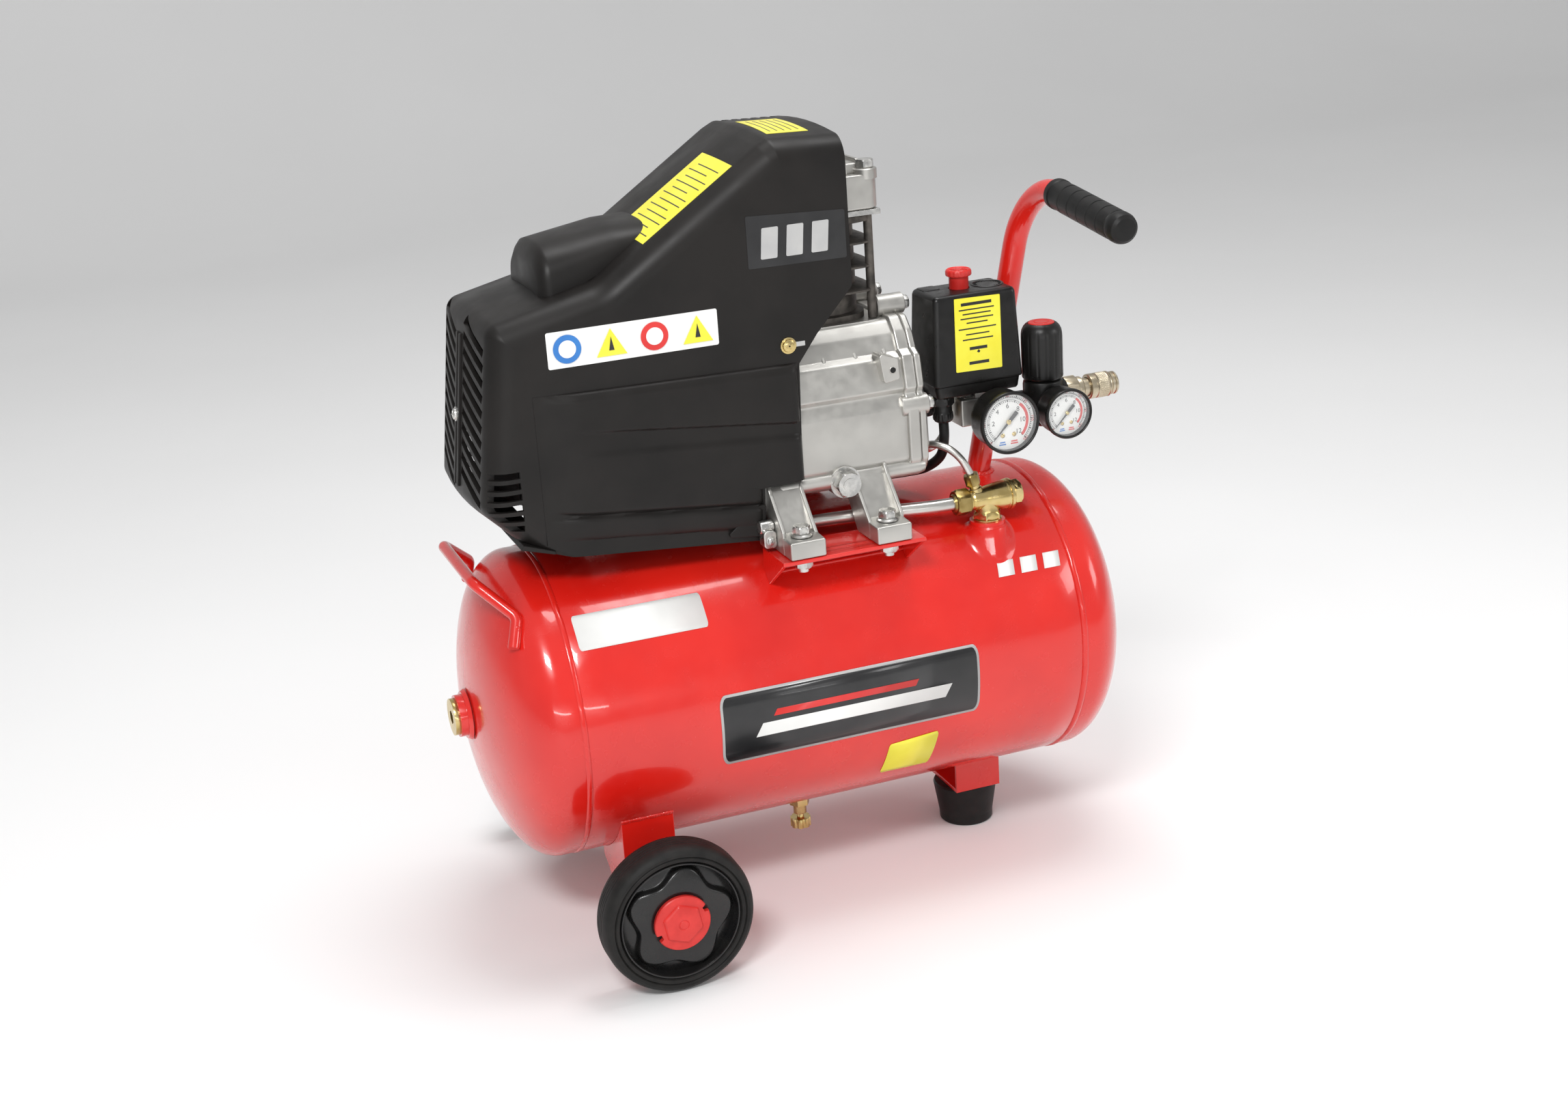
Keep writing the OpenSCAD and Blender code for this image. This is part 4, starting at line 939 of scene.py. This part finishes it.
def crankcase():
    bm = bmesh.new()
    body = rounded(CASE, CASE_R, 5)
    prism(bm, body, -24, 86, "yz")
    rod(bm, 62, -55, -24, (0, 0, SHAFT_Z), ALONG, 96)
    put("case_body", bm, CAST, bevel=1.2, replaces=["crankcase"])
    put("case_rim", prism(bmesh.new(), rounded(grown(CASE, 3.2), CASE_R, 5), 84, 94, "yz"), CAST, bevel=1.8)
    put("case_deck", prism(bmesh.new(), rounded(rect(4, -40, 84, 40), 10, 6), 440, 456.5, "xy"), CAST,
        bevel=1.5)
    for i, x in enumerate((-2, 24, 50, 74)):
        for s in (-1, 1):
            put("case_rib_%d_%d" % (i, s > 0),
                prism(bmesh.new(), [(s * 38, 456), (s * 58, 433), (s * 52, 432), (s * 38, 445)], x - 1.6,
                x + 1.6, "yz"), CAST, bevel=0.9)
    for s in (-1, 1):
        put("case_rod_%d" % (s > 0), lathe(bmesh.new(),
            [(0, -2), (6.2, -2), (6.8, -0.5), (6.8, 114), (5.5, 119), (0, 121)], (-22, s * 67.5, 343.5),
            ALONG, 40), CAST, angle=40)
        for k, x in enumerate(LEG_X):
            x0, x1 = x - 14.3, x + 14.3
            bm = bmesh.new()
            foot = [(s * 86, 302.3), (s * 118, 302.3), (s * 118, 316), (s * 93, 317), (s * 86, 317)]
            prism(bm, rounded(foot, 1.5, 3), x0, x1, "yz")
            put("leg_foot_%d_%d" % (k, s > 0), bm, CAST, bevel=1.8, seg=4)
            bm = bmesh.new()
            slab = [(s * 60, 352), (s * 71, 349), (s * 94, 316), (s * 96, 304), (s * 84, 304),
                (s * 60, 334)]
            prism(bm, rounded(slab, [2, 6, 6, 1, 4, 4], 4), x0 + 1.5, x1 - 1.5, "yz")
            put("leg_slope_%d_%d" % (k, s > 0), bm, CAST, bevel=1.5)
            web = [(s * 58, 354), (s * 73, 352), (s * 78, 345), (s * 102, 320), (s * 104, 302.5),
                (s * 78, 302.5), (s * 58, 330)]
            for q in (x0 - 0.3, x1 - 2.9):
                tall = (k == 0) == (q < x0)
                pts = web if tall else [(y, z - (4 if abs(y) > 62 and z > 310 else 0)) for y, z in web]
                put("leg_web_%d_%d_%d" % (k, q > x0, s > 0),
                    prism(bmesh.new(), rounded(pts, [2, 4, 6, 3, 1, 4, 4], 4), q, q + 3.2, "yz"), CAST,
                    bevel=1.1)
    put("plug_boss", lathe(bmesh.new(), [(12.5, -12), (12.5, 6), (11.4, 7.2), (0, 7.2)], (29, -66.8, 342),
        FRONT, 48), CAST, angle=40)
    bm = prism(bmesh.new(), rounded([(62, 438), (78, 432), (79, 416), (66, 414)], 2, 3), -73.5, -58)
    rod(bm, 3.0, 0, 1.6, (73, -72.4, 424), FRONT, 24)
    put("tap_boss", bm, CAST, bevel=1.2)
    # a thin near-black disc over the tap boss, painted shade for the inside of its hole
    put("tap_hole_shade", rod(bmesh.new(), 2.3, 0, 0.3, (73, -73.9, 424), FRONT, 24), HOLE_SHADE, angle=40)
    # cover with a raised middle
    put("cover_plate", prism(bmesh.new(), rounded(grown(CASE, 2.6), CASE_R, 5), 94.2, 100, "yz"), CAST,
        bevel=1.8, replaces=["crankcase_cover"])
    put("cover_middle", prism(bmesh.new(), rounded(grown(CASE, -9), 12, 6), 99.5, 105.5, "yz"), CAST,
        bevel=3.5, seg=5)
    for i, (y, z) in enumerate(LUGS):
        put("lug_%d" % i, lathe(bmesh.new(), [(0, 80), (7.6, 80), (8.4, 81), (8.4, 93.9), (8.4, 94.5),
            (8.4, 102.2), (7.6, 103), (0, 103)], (0, y, z), ALONG, 40), CAST, angle=38)
        bm = hex_nut(bmesh.new(), (103, y, z), ALONG, 10, 4.6)
        rod(bm, 6.4, 0, 0.9, (102.6, y, z), ALONG, 32)
        put("lug_bolt_%d" % i, bm, ZINC, angle=30, replaces=["pump_bolts"] if i == 0 else ())
    bm = hex_nut(bmesh.new(), (29, -74, 342), FRONT, 19, 9)
    lathe(bm, [(0, 0), (5.4, 0), (5.4, 0.7), (0, 0.5)], (29, -83, 342), FRONT, 32)
    rod(bm, 12.4, 0, 0.8, (29, -73.6, 342), FRONT, 40)
    put("plug_head", bm, ZINC, angle=30, replaces=["crankcase_plug"])
    for x in LEG_X:
        for s in (-1, 1):
            bm = bmesh.new()
            o = (x, s * 104, 317)
            lathe(bm, [(0, 0), (8.5, 0), (8.5, 0.9), (7.4, 1.9), (0, 1.9)], o, UP, 40)
            hex_nut(bm, (x, s * 104, 318.6), UP, 12.6, 6.0)
            lathe(bm, [(0, 0), (4.4, 0), (4.4, 0.4), (0, 0.2)], (x, s * 104, 324.6), UP, 24)
            hex_nut(bm, (x, s * 104, 299), (0, 0, -1), 12.6, 7.4)
            lathe(bm, [(0, 0), (4.0, 0), (4.0, 3.0), (3.4, 3.6), (0, 3.6)], (x, s * 104, 291.6),
                (0, 0, -1), 24)
            put("foot_bolt_%d_%d" % (x > 0, s > 0), bm, ZINC, angle=30,
                replaces=["mount_bolts"] if (x > 0 and s > 0) else ())


def top_end():
    prof = [(23.6, 456), (34, 456.2), (34, 461), (30, 462)]
    for z in (479.5, 498.2, 516.8):
        prof += [(30, z - 3.4), (37.2, z - 1.5), (39.6, z - 0.7), (39.6, z + 0.7), (37.2, z + 1.5),
            (30, z + 3.4)]
    prof += [(30, 531), (38, 532.4), (39.8, 533.2), (39.8, 537.4), (39.0, 538), (23.6, 538), (23.6, 456)]
    bm = bmesh.new()

    def squarish(r, h, a):
        return (r * (1 + 0.19 * max(0.0, (r - 30) / 10) * abs(sin(2 * a)) ** 3), h)
    lathe(bm, prof, (CYL_X, 0, 0), UP, 120, squarish)
    put("cylinder_fins", bm, IRON, angle=32, replaces=["pump_cylinder"])
    cad("valve_plate", ZINC, 0.4)
    bm = bmesh.new()
    sq = rect(4, -40, 84, 40)
    prism(bm, rounded(sq, 9, 6), 542, 569, "xy")
    put("head_block", bm, CAST, bevel=2.2, seg=4, replaces=["cylinder_head"])
    put("head_crown", prism(bmesh.new(), rounded(rect(12, -31, 76, 31), 8, 6), 568, 577, "xy"), CAST,
        bevel=2.5, seg=4)
    for i in range(6):
        bm = bmesh.new()
        x = 16 + i * 11
        prism(bm, rounded([(-34, 566), (34, 566), (30, 580), (-30, 580)], 3, 3), x - 1.5, x + 1.5, "yz")
        put("head_fin_%d" % i, bm, CAST, bevel=0.9)
    for sx in (-1, 1):
        for sy in (-1, 1):
            o = (CYL_X + 32 * sx, 32 * sy, 0)
            put("head_boss_%d_%d" % (sx > 0, sy > 0),
                lathe(bmesh.new(), [(0, 565), (9, 565), (9, 572.2), (8.2, 573), (0, 573)], o, UP, 36),
                CAST, angle=38)
            put("head_bolt_%d_%d" % (sx > 0, sy > 0),
                hex_nut(bmesh.new(), (o[0], o[1], 573), UP, 12.6, 6.4), ZINC, angle=30)
            put("head_stud_%d_%d" % (sx > 0, sy > 0), rod(bmesh.new(), 3.5, 457, 543, o, UP, 24), IRON,
                angle=30)
    cad("air_filter", BLACK, 0.6)


def inside():
    for n, m in (("piston", ALU), ("connecting_rod", CAST), ("crankshaft", ZINC), ("bearings", ZINC),
                 ("rotor", IRON), ("cooling_fan", BLACK), ("stator", IRON), ("motor_end_bracket", CAST),
                 ("capacitor", WHITE)):
        cad(n, m, 0.5)


shroud()
shroud_parts()
shroud_labels()
crankcase()
top_end()
inside()


# ------------------------------------------------------------------ switch, lead, fittings
def loft(bm, sections):
    """Joins equal rings of points and closes both ends."""
    return join(bm, [[bm.verts.new(p) for p in ring] for ring in sections], caps=True)


def slab(x0, x1, y0, y1, z, by, r):
    """A rounded rectangle drawn in by the same amount all round."""
    pts = [(x0 + by, y0 + by), (x1 - by, y0 + by), (x1 - by, y1 - by), (x0 + by, y1 - by)]
    return [(x, y, z) for x, y in rounded(pts, max(r, 0.6), 6)]


def switch():
    put("switch_tray", loft(bmesh.new(), [slab(113.5, 188.5, -62.5, -13.5, z, by, r) for z, by,
        r in ((390, 5, 2), (390.3, 3.2, 3), (391.6, 2.2, 4), (399.4, 1.2, 4), (399.8, 1.8, 4),
        (400, 1.8, 4))]), BLACK, angle=40, replaces=["switch_base"])
    ob = put("switch_box", loft(bmesh.new(), [slab(113, 189, -63, -13, z, by, r) for z, by,
        r in ((400.2, 0.4, 4), (400.8, 0.1, 4), (402, 0.1, 4), (466.8, 2.8, 4), (468.6, 3.2, 4),
        (470, 4.1, 3.4), (470.8, 5.5, 2.6), (471, 7, 2))]), BLACK, angle=32, replaces=["switch_cover"])
    bm = rod(bmesh.new(), 8.4, 459, 480, STOP_AT, UP, 40)
    rod(bm, 1.9, 468, 480, (162.7, -34.2, 0), UP, 24)
    cut(ob, bm)
    ob.data.shade_smooth()
    ob.data.set_sharp_from_angle(angle=radians(32))
    bm = lathe(bmesh.new(), [(11.2, 470.6), (11.2, 471.3), (11.6, 471.6), (12.6, 471.6), (13, 471.3),
        (13, 470.6), (11.2, 470.6)], (172, -37.5, 0), UP, 64)
    for k in range(24):
        a = TAU * k / 24
        m = Matrix.Translation((172, -37.5, 471)) @ Matrix.Rotation(a, 4, "Z")
        box(bm, (9.0, -0.25, -0.2), (10.6, 0.25, 0.35), m)
    put("switch_dial", bm, BLACK, angle=30)
    put("switch_mark", loft(bmesh.new(), [slab(119, 134, -34, -19, z, by, 2) for z,
        by in ((470.7, 0), (471.3, 0.2), (471.5, 0.5))]), BLACK, angle=30)
    # a near-black disc over the floor of the button's well, painted shade in the recess
    put("switch_well_shade", rod(bmesh.new(), 9.6, 458, 460, STOP_AT, UP, 40), HOLE_SHADE)

    def scallop(r, h, a):
        return (r - 0.35 * (0.5 + 0.5 * cos(18 * a)) if 481.4 < h < 484.8 and r > 10 else r), h
    bm = lathe(bmesh.new(), [(0, 467.5), (7.7, 467.5), (7.7, 479.6), (8.2, 480.6), (9.8, 481),
        (10.3, 481.6), (10.3, 484.3), (9.7, 485.4), (8.9, 486), (8.1, 485.7), (7.8, 485.3), (3.2, 485.3),
        (2.8, 485.8), (0, 485.9)], STOP_AT, UP, 108, scallop)
    for k in range(6):
        m = Matrix.Translation((148, -37, 485.2)) @ Matrix.Rotation(TAU * k / 6 + 0.3, 4, "Z")
        box(bm, (3.6, -0.5, 0), (7.2, 0.5, 0.55), m)
    put("stop_button", bm, REDP, "knob", angle=34, replaces=["switch_knob"])
    # plain yellow plate with bars on the tapered front
    def face(x, z, lift=0.2):
        return Vector((x, -62.9 + 2.7 * (z - 402) / 65 - lift, z))
    plate("switch_label", [face(131, 410.5), face(170.5, 409.5), face(171.5, 467), face(132.5, 468)],
        YELLOW, 0.3, 0.8)
    bars = [(464, 26), (459, 30), (455.5, 24), (452, 28), (448.5, 18), (444, 32), (439.5, 20), (435.5, 26),
        (429, 15), (417.5, 17)]
    for i, (z, w) in enumerate(bars):
        h = 2.4 if i in (0, 8, 9) else 1.0
        plate("switch_bar_%d" % i, [face(151 - w / 2, z - h, 0.5), face(151 + w / 2, z - h, 0.5),
            face(151 + w / 2, z, 0.5), face(151 - w / 2, z, 0.5)], INK, 0.12, 0)
    for i, (z, way) in enumerate(((424, 1), (422, -1))):
        plate("switch_arrow_%d" % i, [face(150.2, z, 0.5), face(151.8, z, 0.5), face(152.4, z + way, 0.5),
            face(151, z + 2.4 * way, 0.5), face(149.6, z + way, 0.5)], INK, 0.12, 0)


def gland(name, x, y, hole):
    def ribs(r, h, a):
        return (r + 0.35 * cos(16 * a) if 371 < h < 377 and r > 7 else r), h
    bm = bmesh.new()
    inner = [(hole, 369.4)] if hole else [(0, 369.4)]
    prof = inner + [(5.4, 369.4), (6.6, 370), (7.5, 371.4), (7.9, 373), (7.9, 377), (7.3, 378), (7.2, 383)]
    lathe(bm, prof + [inner[0][:1] + (383,)] + ([inner[0]] if hole else []), (x, y, 0), UP, 96, ribs)
    hex_nut(bm, (x, y, 389.8), (0, 0, -1), 16, 6.8)
    put(name, bm, BLACK, angle=34)


LEAD = [(124, -50, 370), (124, -50, 356), (123, -44, 340), (116, -30, 328), (104, -16, 322.5),
    (86, -10, 321), (30, -8, 321), (-20, -8, 322), (-38, -8, 327), (-43, -8, 339.8)]
DELIVERY = [(-1, -28, 560), (-9, -28, 560), (-20, -32, 550), (-33, -44, 512), (-40, -56, 470),
    (-42, -65, 430), (-42, -69, 398), (-42, -69.5, 356), (-42, -68, 330), (-38, -63.5, 314.5),
    (-24, -61, 311), (8, -60, 310.5), (60, -66, 310), (96, -73, 309.5), (112, -75, 309.5),
    (124, -75, 309.5)]
UNLOADER = [(134, -74, 331), (128, -72, 343), (121, -66, 351), (114, -58, 354), (110.5, -48, 352),
    (112, -38, 347), (119, -30, 343), (128, -28, 346), (133, -29.5, 354), (133.5, -30, 366)]


def lines():
    gland("gland_lead", 124, -50, 0)
    gland("gland_spare", 120, -25, 3.6)
    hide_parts("cable_glands")
    for name, route, r, mat, node in (("lead", LEAD, 4, RUBBER, "motor_lead"),
                                      ("delivery_line", DELIVERY, 5, ALU, "delivery_pipe"),
                                      ("unloader_line", UNLOADER, 3, ALU, "unloader_tube")):
        put(name, tube(bmesh.new(), smooth_path(route, 8), r, 28), mat, angle=50, replaces=[node])
    # sleeve and clamp with a screw, where the pipe comes out under the shroud
    bm = bmesh.new()
    path = [Vector(p) for p in ((-39, -64, 315.2), (-33, -62.2, 312.6), (-24, -61, 311),
        (-16, -60.6, 310.9))]
    tube(bm, smooth_path(path, 6), 7.2, 32)
    put("pipe_sleeve", bm, ZINC, angle=50)
    bm = prism(bmesh.new(), rounded([(-46, 306), (-35.8, 305), (-35.8, 319), (-46, 320)], 3, 5), -90, -79)
    rod(bm, 5, -47, -35.8, (0, -82, 321), ALONG, 32)
    put("pipe_clamp", bm, ZINC, bevel=1.0)
    bm = bmesh.new()
    pan_head(bm, (-40.6, -89.8, 311.8), FRONT, 2.9)
    put("clamp_screw", bm, ZINC, angle=32)
    put("head_nut", hex_nut(bmesh.new(), (-8, -28, 560), ALONG, 17, 11.8), DBRASS, angle=30,
        replaces=["pipe_nuts"])
    bm = hex_nut(bmesh.new(), (119, -75, 309.5), ALONG, 19, 12)
    lathe(bm, [(0, -1.6), (6.4, -1.6), (7.6, 0.4), (0, 0.4)], (119, -75, 309.5), ALONG, 40)
    put("valve_nut", bm, DBRASS, angle=30)
    bm = hex_nut(bmesh.new(), (133.5, -30, 366), UP, 10, 12)
    lathe(bm, [(0, 11.5), (4.2, 11.5), (4.2, 15), (5.4, 15.5), (5.4, 23.8), (0, 23.8)], (133.5, -30, 366),
        UP, 32)
    put("unloader_nut", bm, DBRASS, angle=30)


def check_valve():
    o = (0, -75, 309.5)
    bm = lathe(bmesh.new(), [(0, 129), (7.6, 129), (8.3, 130.8), (8.4, 132.2), (7.5, 133), (8.2, 134),
        (8.5, 135), (8.5, 142), (9.2, 145), (10.4, 152), (11.4, 158.5), (11.6, 162), (12.1, 162.6),
        (12.1, 163.6), (11.5, 164.2), (12.3, 164.8), (12.5, 165.8), (12.3, 167.2), (11.2, 168), (0, 168)],
        o, ALONG, 72)
    hex_nut(bm, (167.6, o[1], o[2]), ALONG, 19, 7.4)
    # neck down to the tank
    hex_nut(bm, (147, -75, 292), UP, 20.5, 7.4)
    lathe(bm, [(0, 291.6), (11.2, 291.6), (11.6, 292.2), (11.6, 293.2), (0, 293.6)], VALVE_AT, UP, 48)
    lathe(bm, [(9.8, 298.5), (9.4, 300.5), (9, 303), (9, 309)], VALVE_AT, UP, 48)
    a, b = Vector((139, -75, 313.5)), Vector((134.3, -74.1, 329.8))
    d = (b - a)
    lathe(bm, [(0, 0), (5.6, 1), (5.2, 5.5), (4.4, 6.2), (4.4, 8.4), (5, 9), (0, 9.4)], a, d, 40)
    put("valve_body", bm, BRASS, angle=32, replaces=["check_valve"])
    put("valve_side_nut", hex_nut(bmesh.new(), a + d.normalized() * 8.6, d, 11, 9.4), DBRASS, angle=30)


def manifold():
    put("manifold_block", prism(bmesh.new(), rounded(rect(141, -48, 175, -26), 1.5, 3), 361, 383, "xy"),
        CAST, bevel=1.4, replaces=["manifold"])
    put("manifold_top_nut", hex_nut(bmesh.new(), (150, -37, 382.6), UP, 15, 7.2), ZINC, angle=30)
    put("manifold_neck", lathe(bmesh.new(), [(0, 174), (9.4, 174), (9.8, 175), (9.8, 181), (8, 182),
        (8, 189), (10, 190), (10, 198), (0, 198)], (0, -44, 372), ALONG, 56), BLACK, bevel=0.6)
    put("gauge_stem_tank", lathe(bmesh.new(), [(0, 0), (9.2, 0), (9.2, 13), (7.5, 14), (0, 14)],
        (162.5, -48.4, 371.6), FRONT, 48), BLACK, bevel=0.6)
    put("manifold_plug", hex_nut(bmesh.new(), (173, -47.6, 381.6), FRONT, 11, 7), DBRASS, angle=30)
    bm = bmesh.new()
    a = Vector((158, -31.7, 371))
    rod(bm, 7, 0, 38, a, (1, 1, 0), 40)
    put("manifold_stay", bm, ZINC, angle=40)
    bm = hex_nut(bmesh.new(), (146.5, -26.2, 372), (0, 1, 0), 12, 8)
    lathe(bm, [(0, 8), (5.5, 8), (5.5, 15), (4.6, 16), (5.5, 17), (5.5, 23.5), (4.7, 24.2), (0, 24.2)],
        (146.5, -26.2, 372), (0, 1, 0), 36)
    put("relief_valve", bm, BRASS, angle=30, replaces=["safety_valve"])
    bm = lathe(bmesh.new(), [(0, 0), (1.9, 0), (1.9, 12.6), (2.3, 13.2), (0, 13.6)], (146.5, -12, 372),
        (0, 1, 0), 24)
    ring = [(146.5, 10 + 9.5 * cos(TAU * k / 48), 372 + 9.5 * sin(TAU * k / 48)) for k in range(49)]
    tube(bm, ring, 1.45, 14, False)
    put("relief_ring", bm, ZINC, "safety_ring", angle=50, replaces=["safety_pull"])


def regulator():
    o = (211, -52, 0)
    bm = lathe(bmesh.new(), [(0, 354), (8, 354), (9.5, 355), (12.6, 356.2), (15.2, 359.5), (16, 363),
        (16, 388), (15.4, 390.6), (13.4, 392), (11.8, 392.3), (11.8, 399.5), (0, 399.5)], o, UP, 72)
    lathe(bm, [(0, 8), (12.2, 8), (11.6, 17), (10.4, 21), (0, 21)], (211, -52, 372.4), FRONT, 56)
    lathe(bm, [(0, 8), (11.5, 8), (11, 17.6), (9.4, 18.6), (0, 18.6)], (211, -52, 378.5), ALONG, 56)
    put("regulator_case", bm, BLACK, bevel=0.4, replaces=["regulator_body"])

    def flute(r, h, a):
        k = max(0.0, min(1.0, (431 - h) / 4)) if h > 395 else 0.0
        return (r - 0.55 * k * max(0.0, cos(14 * a)) ** 4 if r > 12 else r), h
    put("regulator_cap", lathe(bmesh.new(), [(0, 392.7), (15.4, 392.7), (16.2, 393.4), (16.5, 394.6),
        (16.5, 398), (16.5, 426), (16.3, 429), (15.7, 431.8), (14.4, 434.4), (12.6, 436.4), (11.2, 437.2),
        (10.8, 436.9), (10.8, 435.8), (0, 435.8)], o, UP, 168, flute), BLACK, "regulator", angle=40,
        replaces=["regulator_knob"])
    put("regulator_disc", lathe(bmesh.new(), [(0, 435.6), (10.5, 435.6), (10.5, 437.2), (10, 437.8),
        (6.6, 437.9), (6.2, 437.5), (5.6, 437.5), (5.2, 437.9), (0, 437.9)], o, UP, 64), REDP, "regulator",
        angle=36)
    # outlet coupler
    c = (0, -52, 378.5)
    bm = hex_nut(bmesh.new(), (227.6, c[1], c[2]), ALONG, 20, 12.2)
    lathe(bm, [(5.2, 239), (9, 239), (9.5, 240), (9.5, 243.6), (8.8, 244.4), (7.5, 244.6), (7.5, 268.6),
        (8.6, 269), (9.2, 269.6), (9.2, 271.4), (8.5, 271.9), (8.5, 272.4), (9.2, 272.9), (9.2, 274.2),
        (8.4, 275), (6.1, 275), (5.3, 274.2), (5.2, 250), (5.2, 239)], c, ALONG, 72)
    put("coupler_tube", bm, PALE, angle=30, replaces=["coupler_body"])

    def knurl(r, h, a):
        on = 257 < h < 265.6 and r > 9
        return (r + (0.28 * cos(24 * a + h * 2.2) * cos(24 * a - h * 2.2) - 0.1 if on else 0)), h
    prof = [(7.9, 250), (9.3, 250), (10.1, 250.6), (10.2, 251.4), (10.2, 255), (9.6, 255.5), (9.6, 256.1),
        (10.1, 256.6)]
    prof += [(10.1, 257 + 0.35 * i) for i in range(26)]
    prof += [(9.7, 266.2), (9.7, 266.7), (10.2, 267.2), (10.2, 268), (9.8, 268.5), (7.9, 268.5), (7.9, 250)]
    put("coupler_grip", lathe(bmesh.new(), prof, c, ALONG, 144, knurl), PALE, "sleeve", angle=40,
        replaces=["coupler_sleeve"])


def digits(bm, text, size, m):
    """Adds the outline of a plain number to bm."""
    c = bpy.data.curves.new("digits", "FONT")
    c.body = text
    c.size = size
    c.extrude = 0.06
    c.align_x = "CENTER"
    c.align_y = "CENTER"
    ob = link("digits", c)
    me = bpy.data.meshes.new_from_object(ob.evaluated_get(bpy.context.evaluated_depsgraph_get()))
    me.transform(m)
    bm.from_mesh(me)
    bpy.data.objects.remove(ob)
    bpy.data.curves.remove(c)
    bpy.data.meshes.remove(me)


def gauge(name, x, z, front, back, R, face_y, face_r, body, inner, outer, nodes):
    """A dial gauge that faces -Y. The scale runs 270 degrees clockwise from the lower left."""
    L = back - front
    face = back - face_y
    put(name + "_case", lathe(bmesh.new(), [(0, 0), (R * 0.4, 0), (R * 0.76, 0.4), (R * 0.86, 1.6),
        (R * 0.92, 4.4), (R * 0.94, 8), (R * 0.95, L - 6.6), (R * 0.965, L - 5.4), (R - 0.2, L - 4.6),
        (R, L - 4), (R, L - 1), (R - 0.5, L - 0.2), (R - 1.3, L), (face_r + 0.7, L - 0.2),
        (face_r + 0.1, L - 0.9), (face_r, L - 1.6), (face_r, face), (0, face)], (x, back, z), FRONT, 96),
        BLACK, angle=36, replaces=["gauge_cases"] if nodes else ())
    put(name + "_face", rod(bmesh.new(), face_r - 0.2, 0, 0.2, (x, face_y, z), FRONT, 72), WHITE, angle=30)

    def spot(r, a, lift):
        return Matrix.Translation((x, face_y - lift, z)) @ Matrix.Rotation(-a, 4,
            "Y") @ Matrix.Translation((r, 0, 0))

    def bars(bm, lower, upper):
        """Two short printed bars low on the face, in place of unit names."""
        for (a, b), low in ((lower, 0.82), (upper, 0.74)):
            box(bm, (x + f * a, face_y - 0.3, z - f * low), (x + f * b, face_y - 0.1, z - f * (low - 0.05)))

    def scale(bm, r0, long, short, n, every):
        for k in range(n + 1):
            a = radians(225 - 270 * k / n)
            w = 0.01 * face_r if k % every else 0.018 * face_r
            box(bm, (0, 0, -w), (short if k % every else long, 0.12, w), spot(r0, a, 0.33))

    def arc(bm, r0, r1, a0, a1, lift=0.33):
        n = 60
        ring = []
        for k in range(n + 1):
            a = radians(a0 + (a1 - a0) * k / n)
            ring.append([bm.verts.new((x + r * cos(a), face_y - l, z + r * sin(a))) for r,
                l in ((r0, lift), (r1, lift), (r1, 0.18), (r0, 0.18))])
        join(bm, ring)
    f = face_r
    bm = bmesh.new()
    scale(bm, f * 0.86, f * 0.09, f * 0.055, 60, 5)
    scale(bm, f * 0.70, f * 0.085, f * 0.05, 48, 4)
    arc(bm, f * 0.855, f * 0.865, 225, -45)
    arc(bm, f * 0.775, f * 0.785, 225, -45)
    for text, t in inner:
        a = radians(225 - 270 * t)
        m = Matrix.Translation((x + f * 0.56 * cos(a), face_y - 0.24, z + f * 0.56 * sin(a)))
        digits(bm, text, f * 0.24, m @ Matrix.Rotation(pi / 2, 4, "X"))
    put(name + "_scale", bm, INK, angle=30)
    bm = bmesh.new()
    arc(bm, f * 0.69, f * 0.79, 50, -45, 0.36)
    for text, t in outer:
        a = radians(225 - 270 * t)
        m = (Matrix.Translation((x + f * 0.93 * cos(a), face_y - 0.24,
            z + f * 0.93 * sin(a))) @ Matrix.Rotation(pi / 2 - a, 4, "Y") @ Matrix.Rotation(pi / 2, 4, "X"))
        digits(bm, text, f * 0.15, m)
    bars(bm, (0.08, 0.36), (0.10, 0.34))
    put(name + "_red", bm, REDINK, angle=30)
    bm = bmesh.new()
    bars(bm, (-0.36, -0.10), (-0.33, -0.13))
    put(name + "_blue", bm, BLUE, angle=30)
    bm = bmesh.new()
    for s in (-1, 1):
        lathe(bm, [(0, 0), (f * 0.08, 0), (f * 0.08, 0.5), (f * 0.05, 0.95), (0, 1.1)],
            (x + s * f * 0.22, face_y - 0.1, z - f * 0.47), FRONT, 28)
    put(name + "_rivets", bm, BRASS, angle=36)
    # needle, pointing at the start of the scale
    bm = bmesh.new()
    m = spot(0, radians(225), 0)
    y0, y1 = front + 4.3 - face_y, front + 3.9 - face_y
    shape = [(-f * 0.46, -f * 0.075), (-f * 0.46, f * 0.075), (-f * 0.12, f * 0.07), (0, f * 0.045),
        (f * 0.86, 0.2), (f * 0.86, -0.2), (0, -f * 0.045), (-f * 0.12, -f * 0.07)]
    join(bm, [[bm.verts.new(m @ Vector((p, y, q))) for p, q in shape] for y in (y0, y1)], caps=True)
    put(name + "_needle", bm, INK, body, angle=30, replaces=[nodes[0]] if nodes else ())
    put(name + "_hub", lathe(bmesh.new(), [(0, 0), (f * 0.085, 0), (f * 0.085, 1.3), (f * 0.06, 1.7),
        (0, 1.8)], (x, front + 4.9, z), FRONT, 32), BRASS, body, angle=36)
    put(name + "_lens", lathe(bmesh.new(), [(0, 0), (face_r - 0.05, 0), (face_r - 0.05, 1.0), (0, 1.2)],
        (x, front + 2, z), FRONT, 72), GLASS, angle=40)


def gauges():
    gauge("tank_gauge", 162.5, 371.6, -92, -63, 25, -86, 22.5, "tank_needle",
        [(str(2 * k), k / 6) for k in range(1, 7)], [(str(30 * k), k / 6) for k in range(0, 7)],
        ["tank_gauge_needle"])
    gauge("outlet_gauge", 211, 372.4, -97, -72, 20, -91, 17.8, "outlet_needle",
        [(str(2 * k), k / 6) for k in range(1, 7)], [(str(30 * k), k / 6) for k in range(0, 7)],
        ["outlet_gauge_needle"])
    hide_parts("gauge_lenses")


switch()
lines()
check_valve()
manifold()
regulator()
gauges()
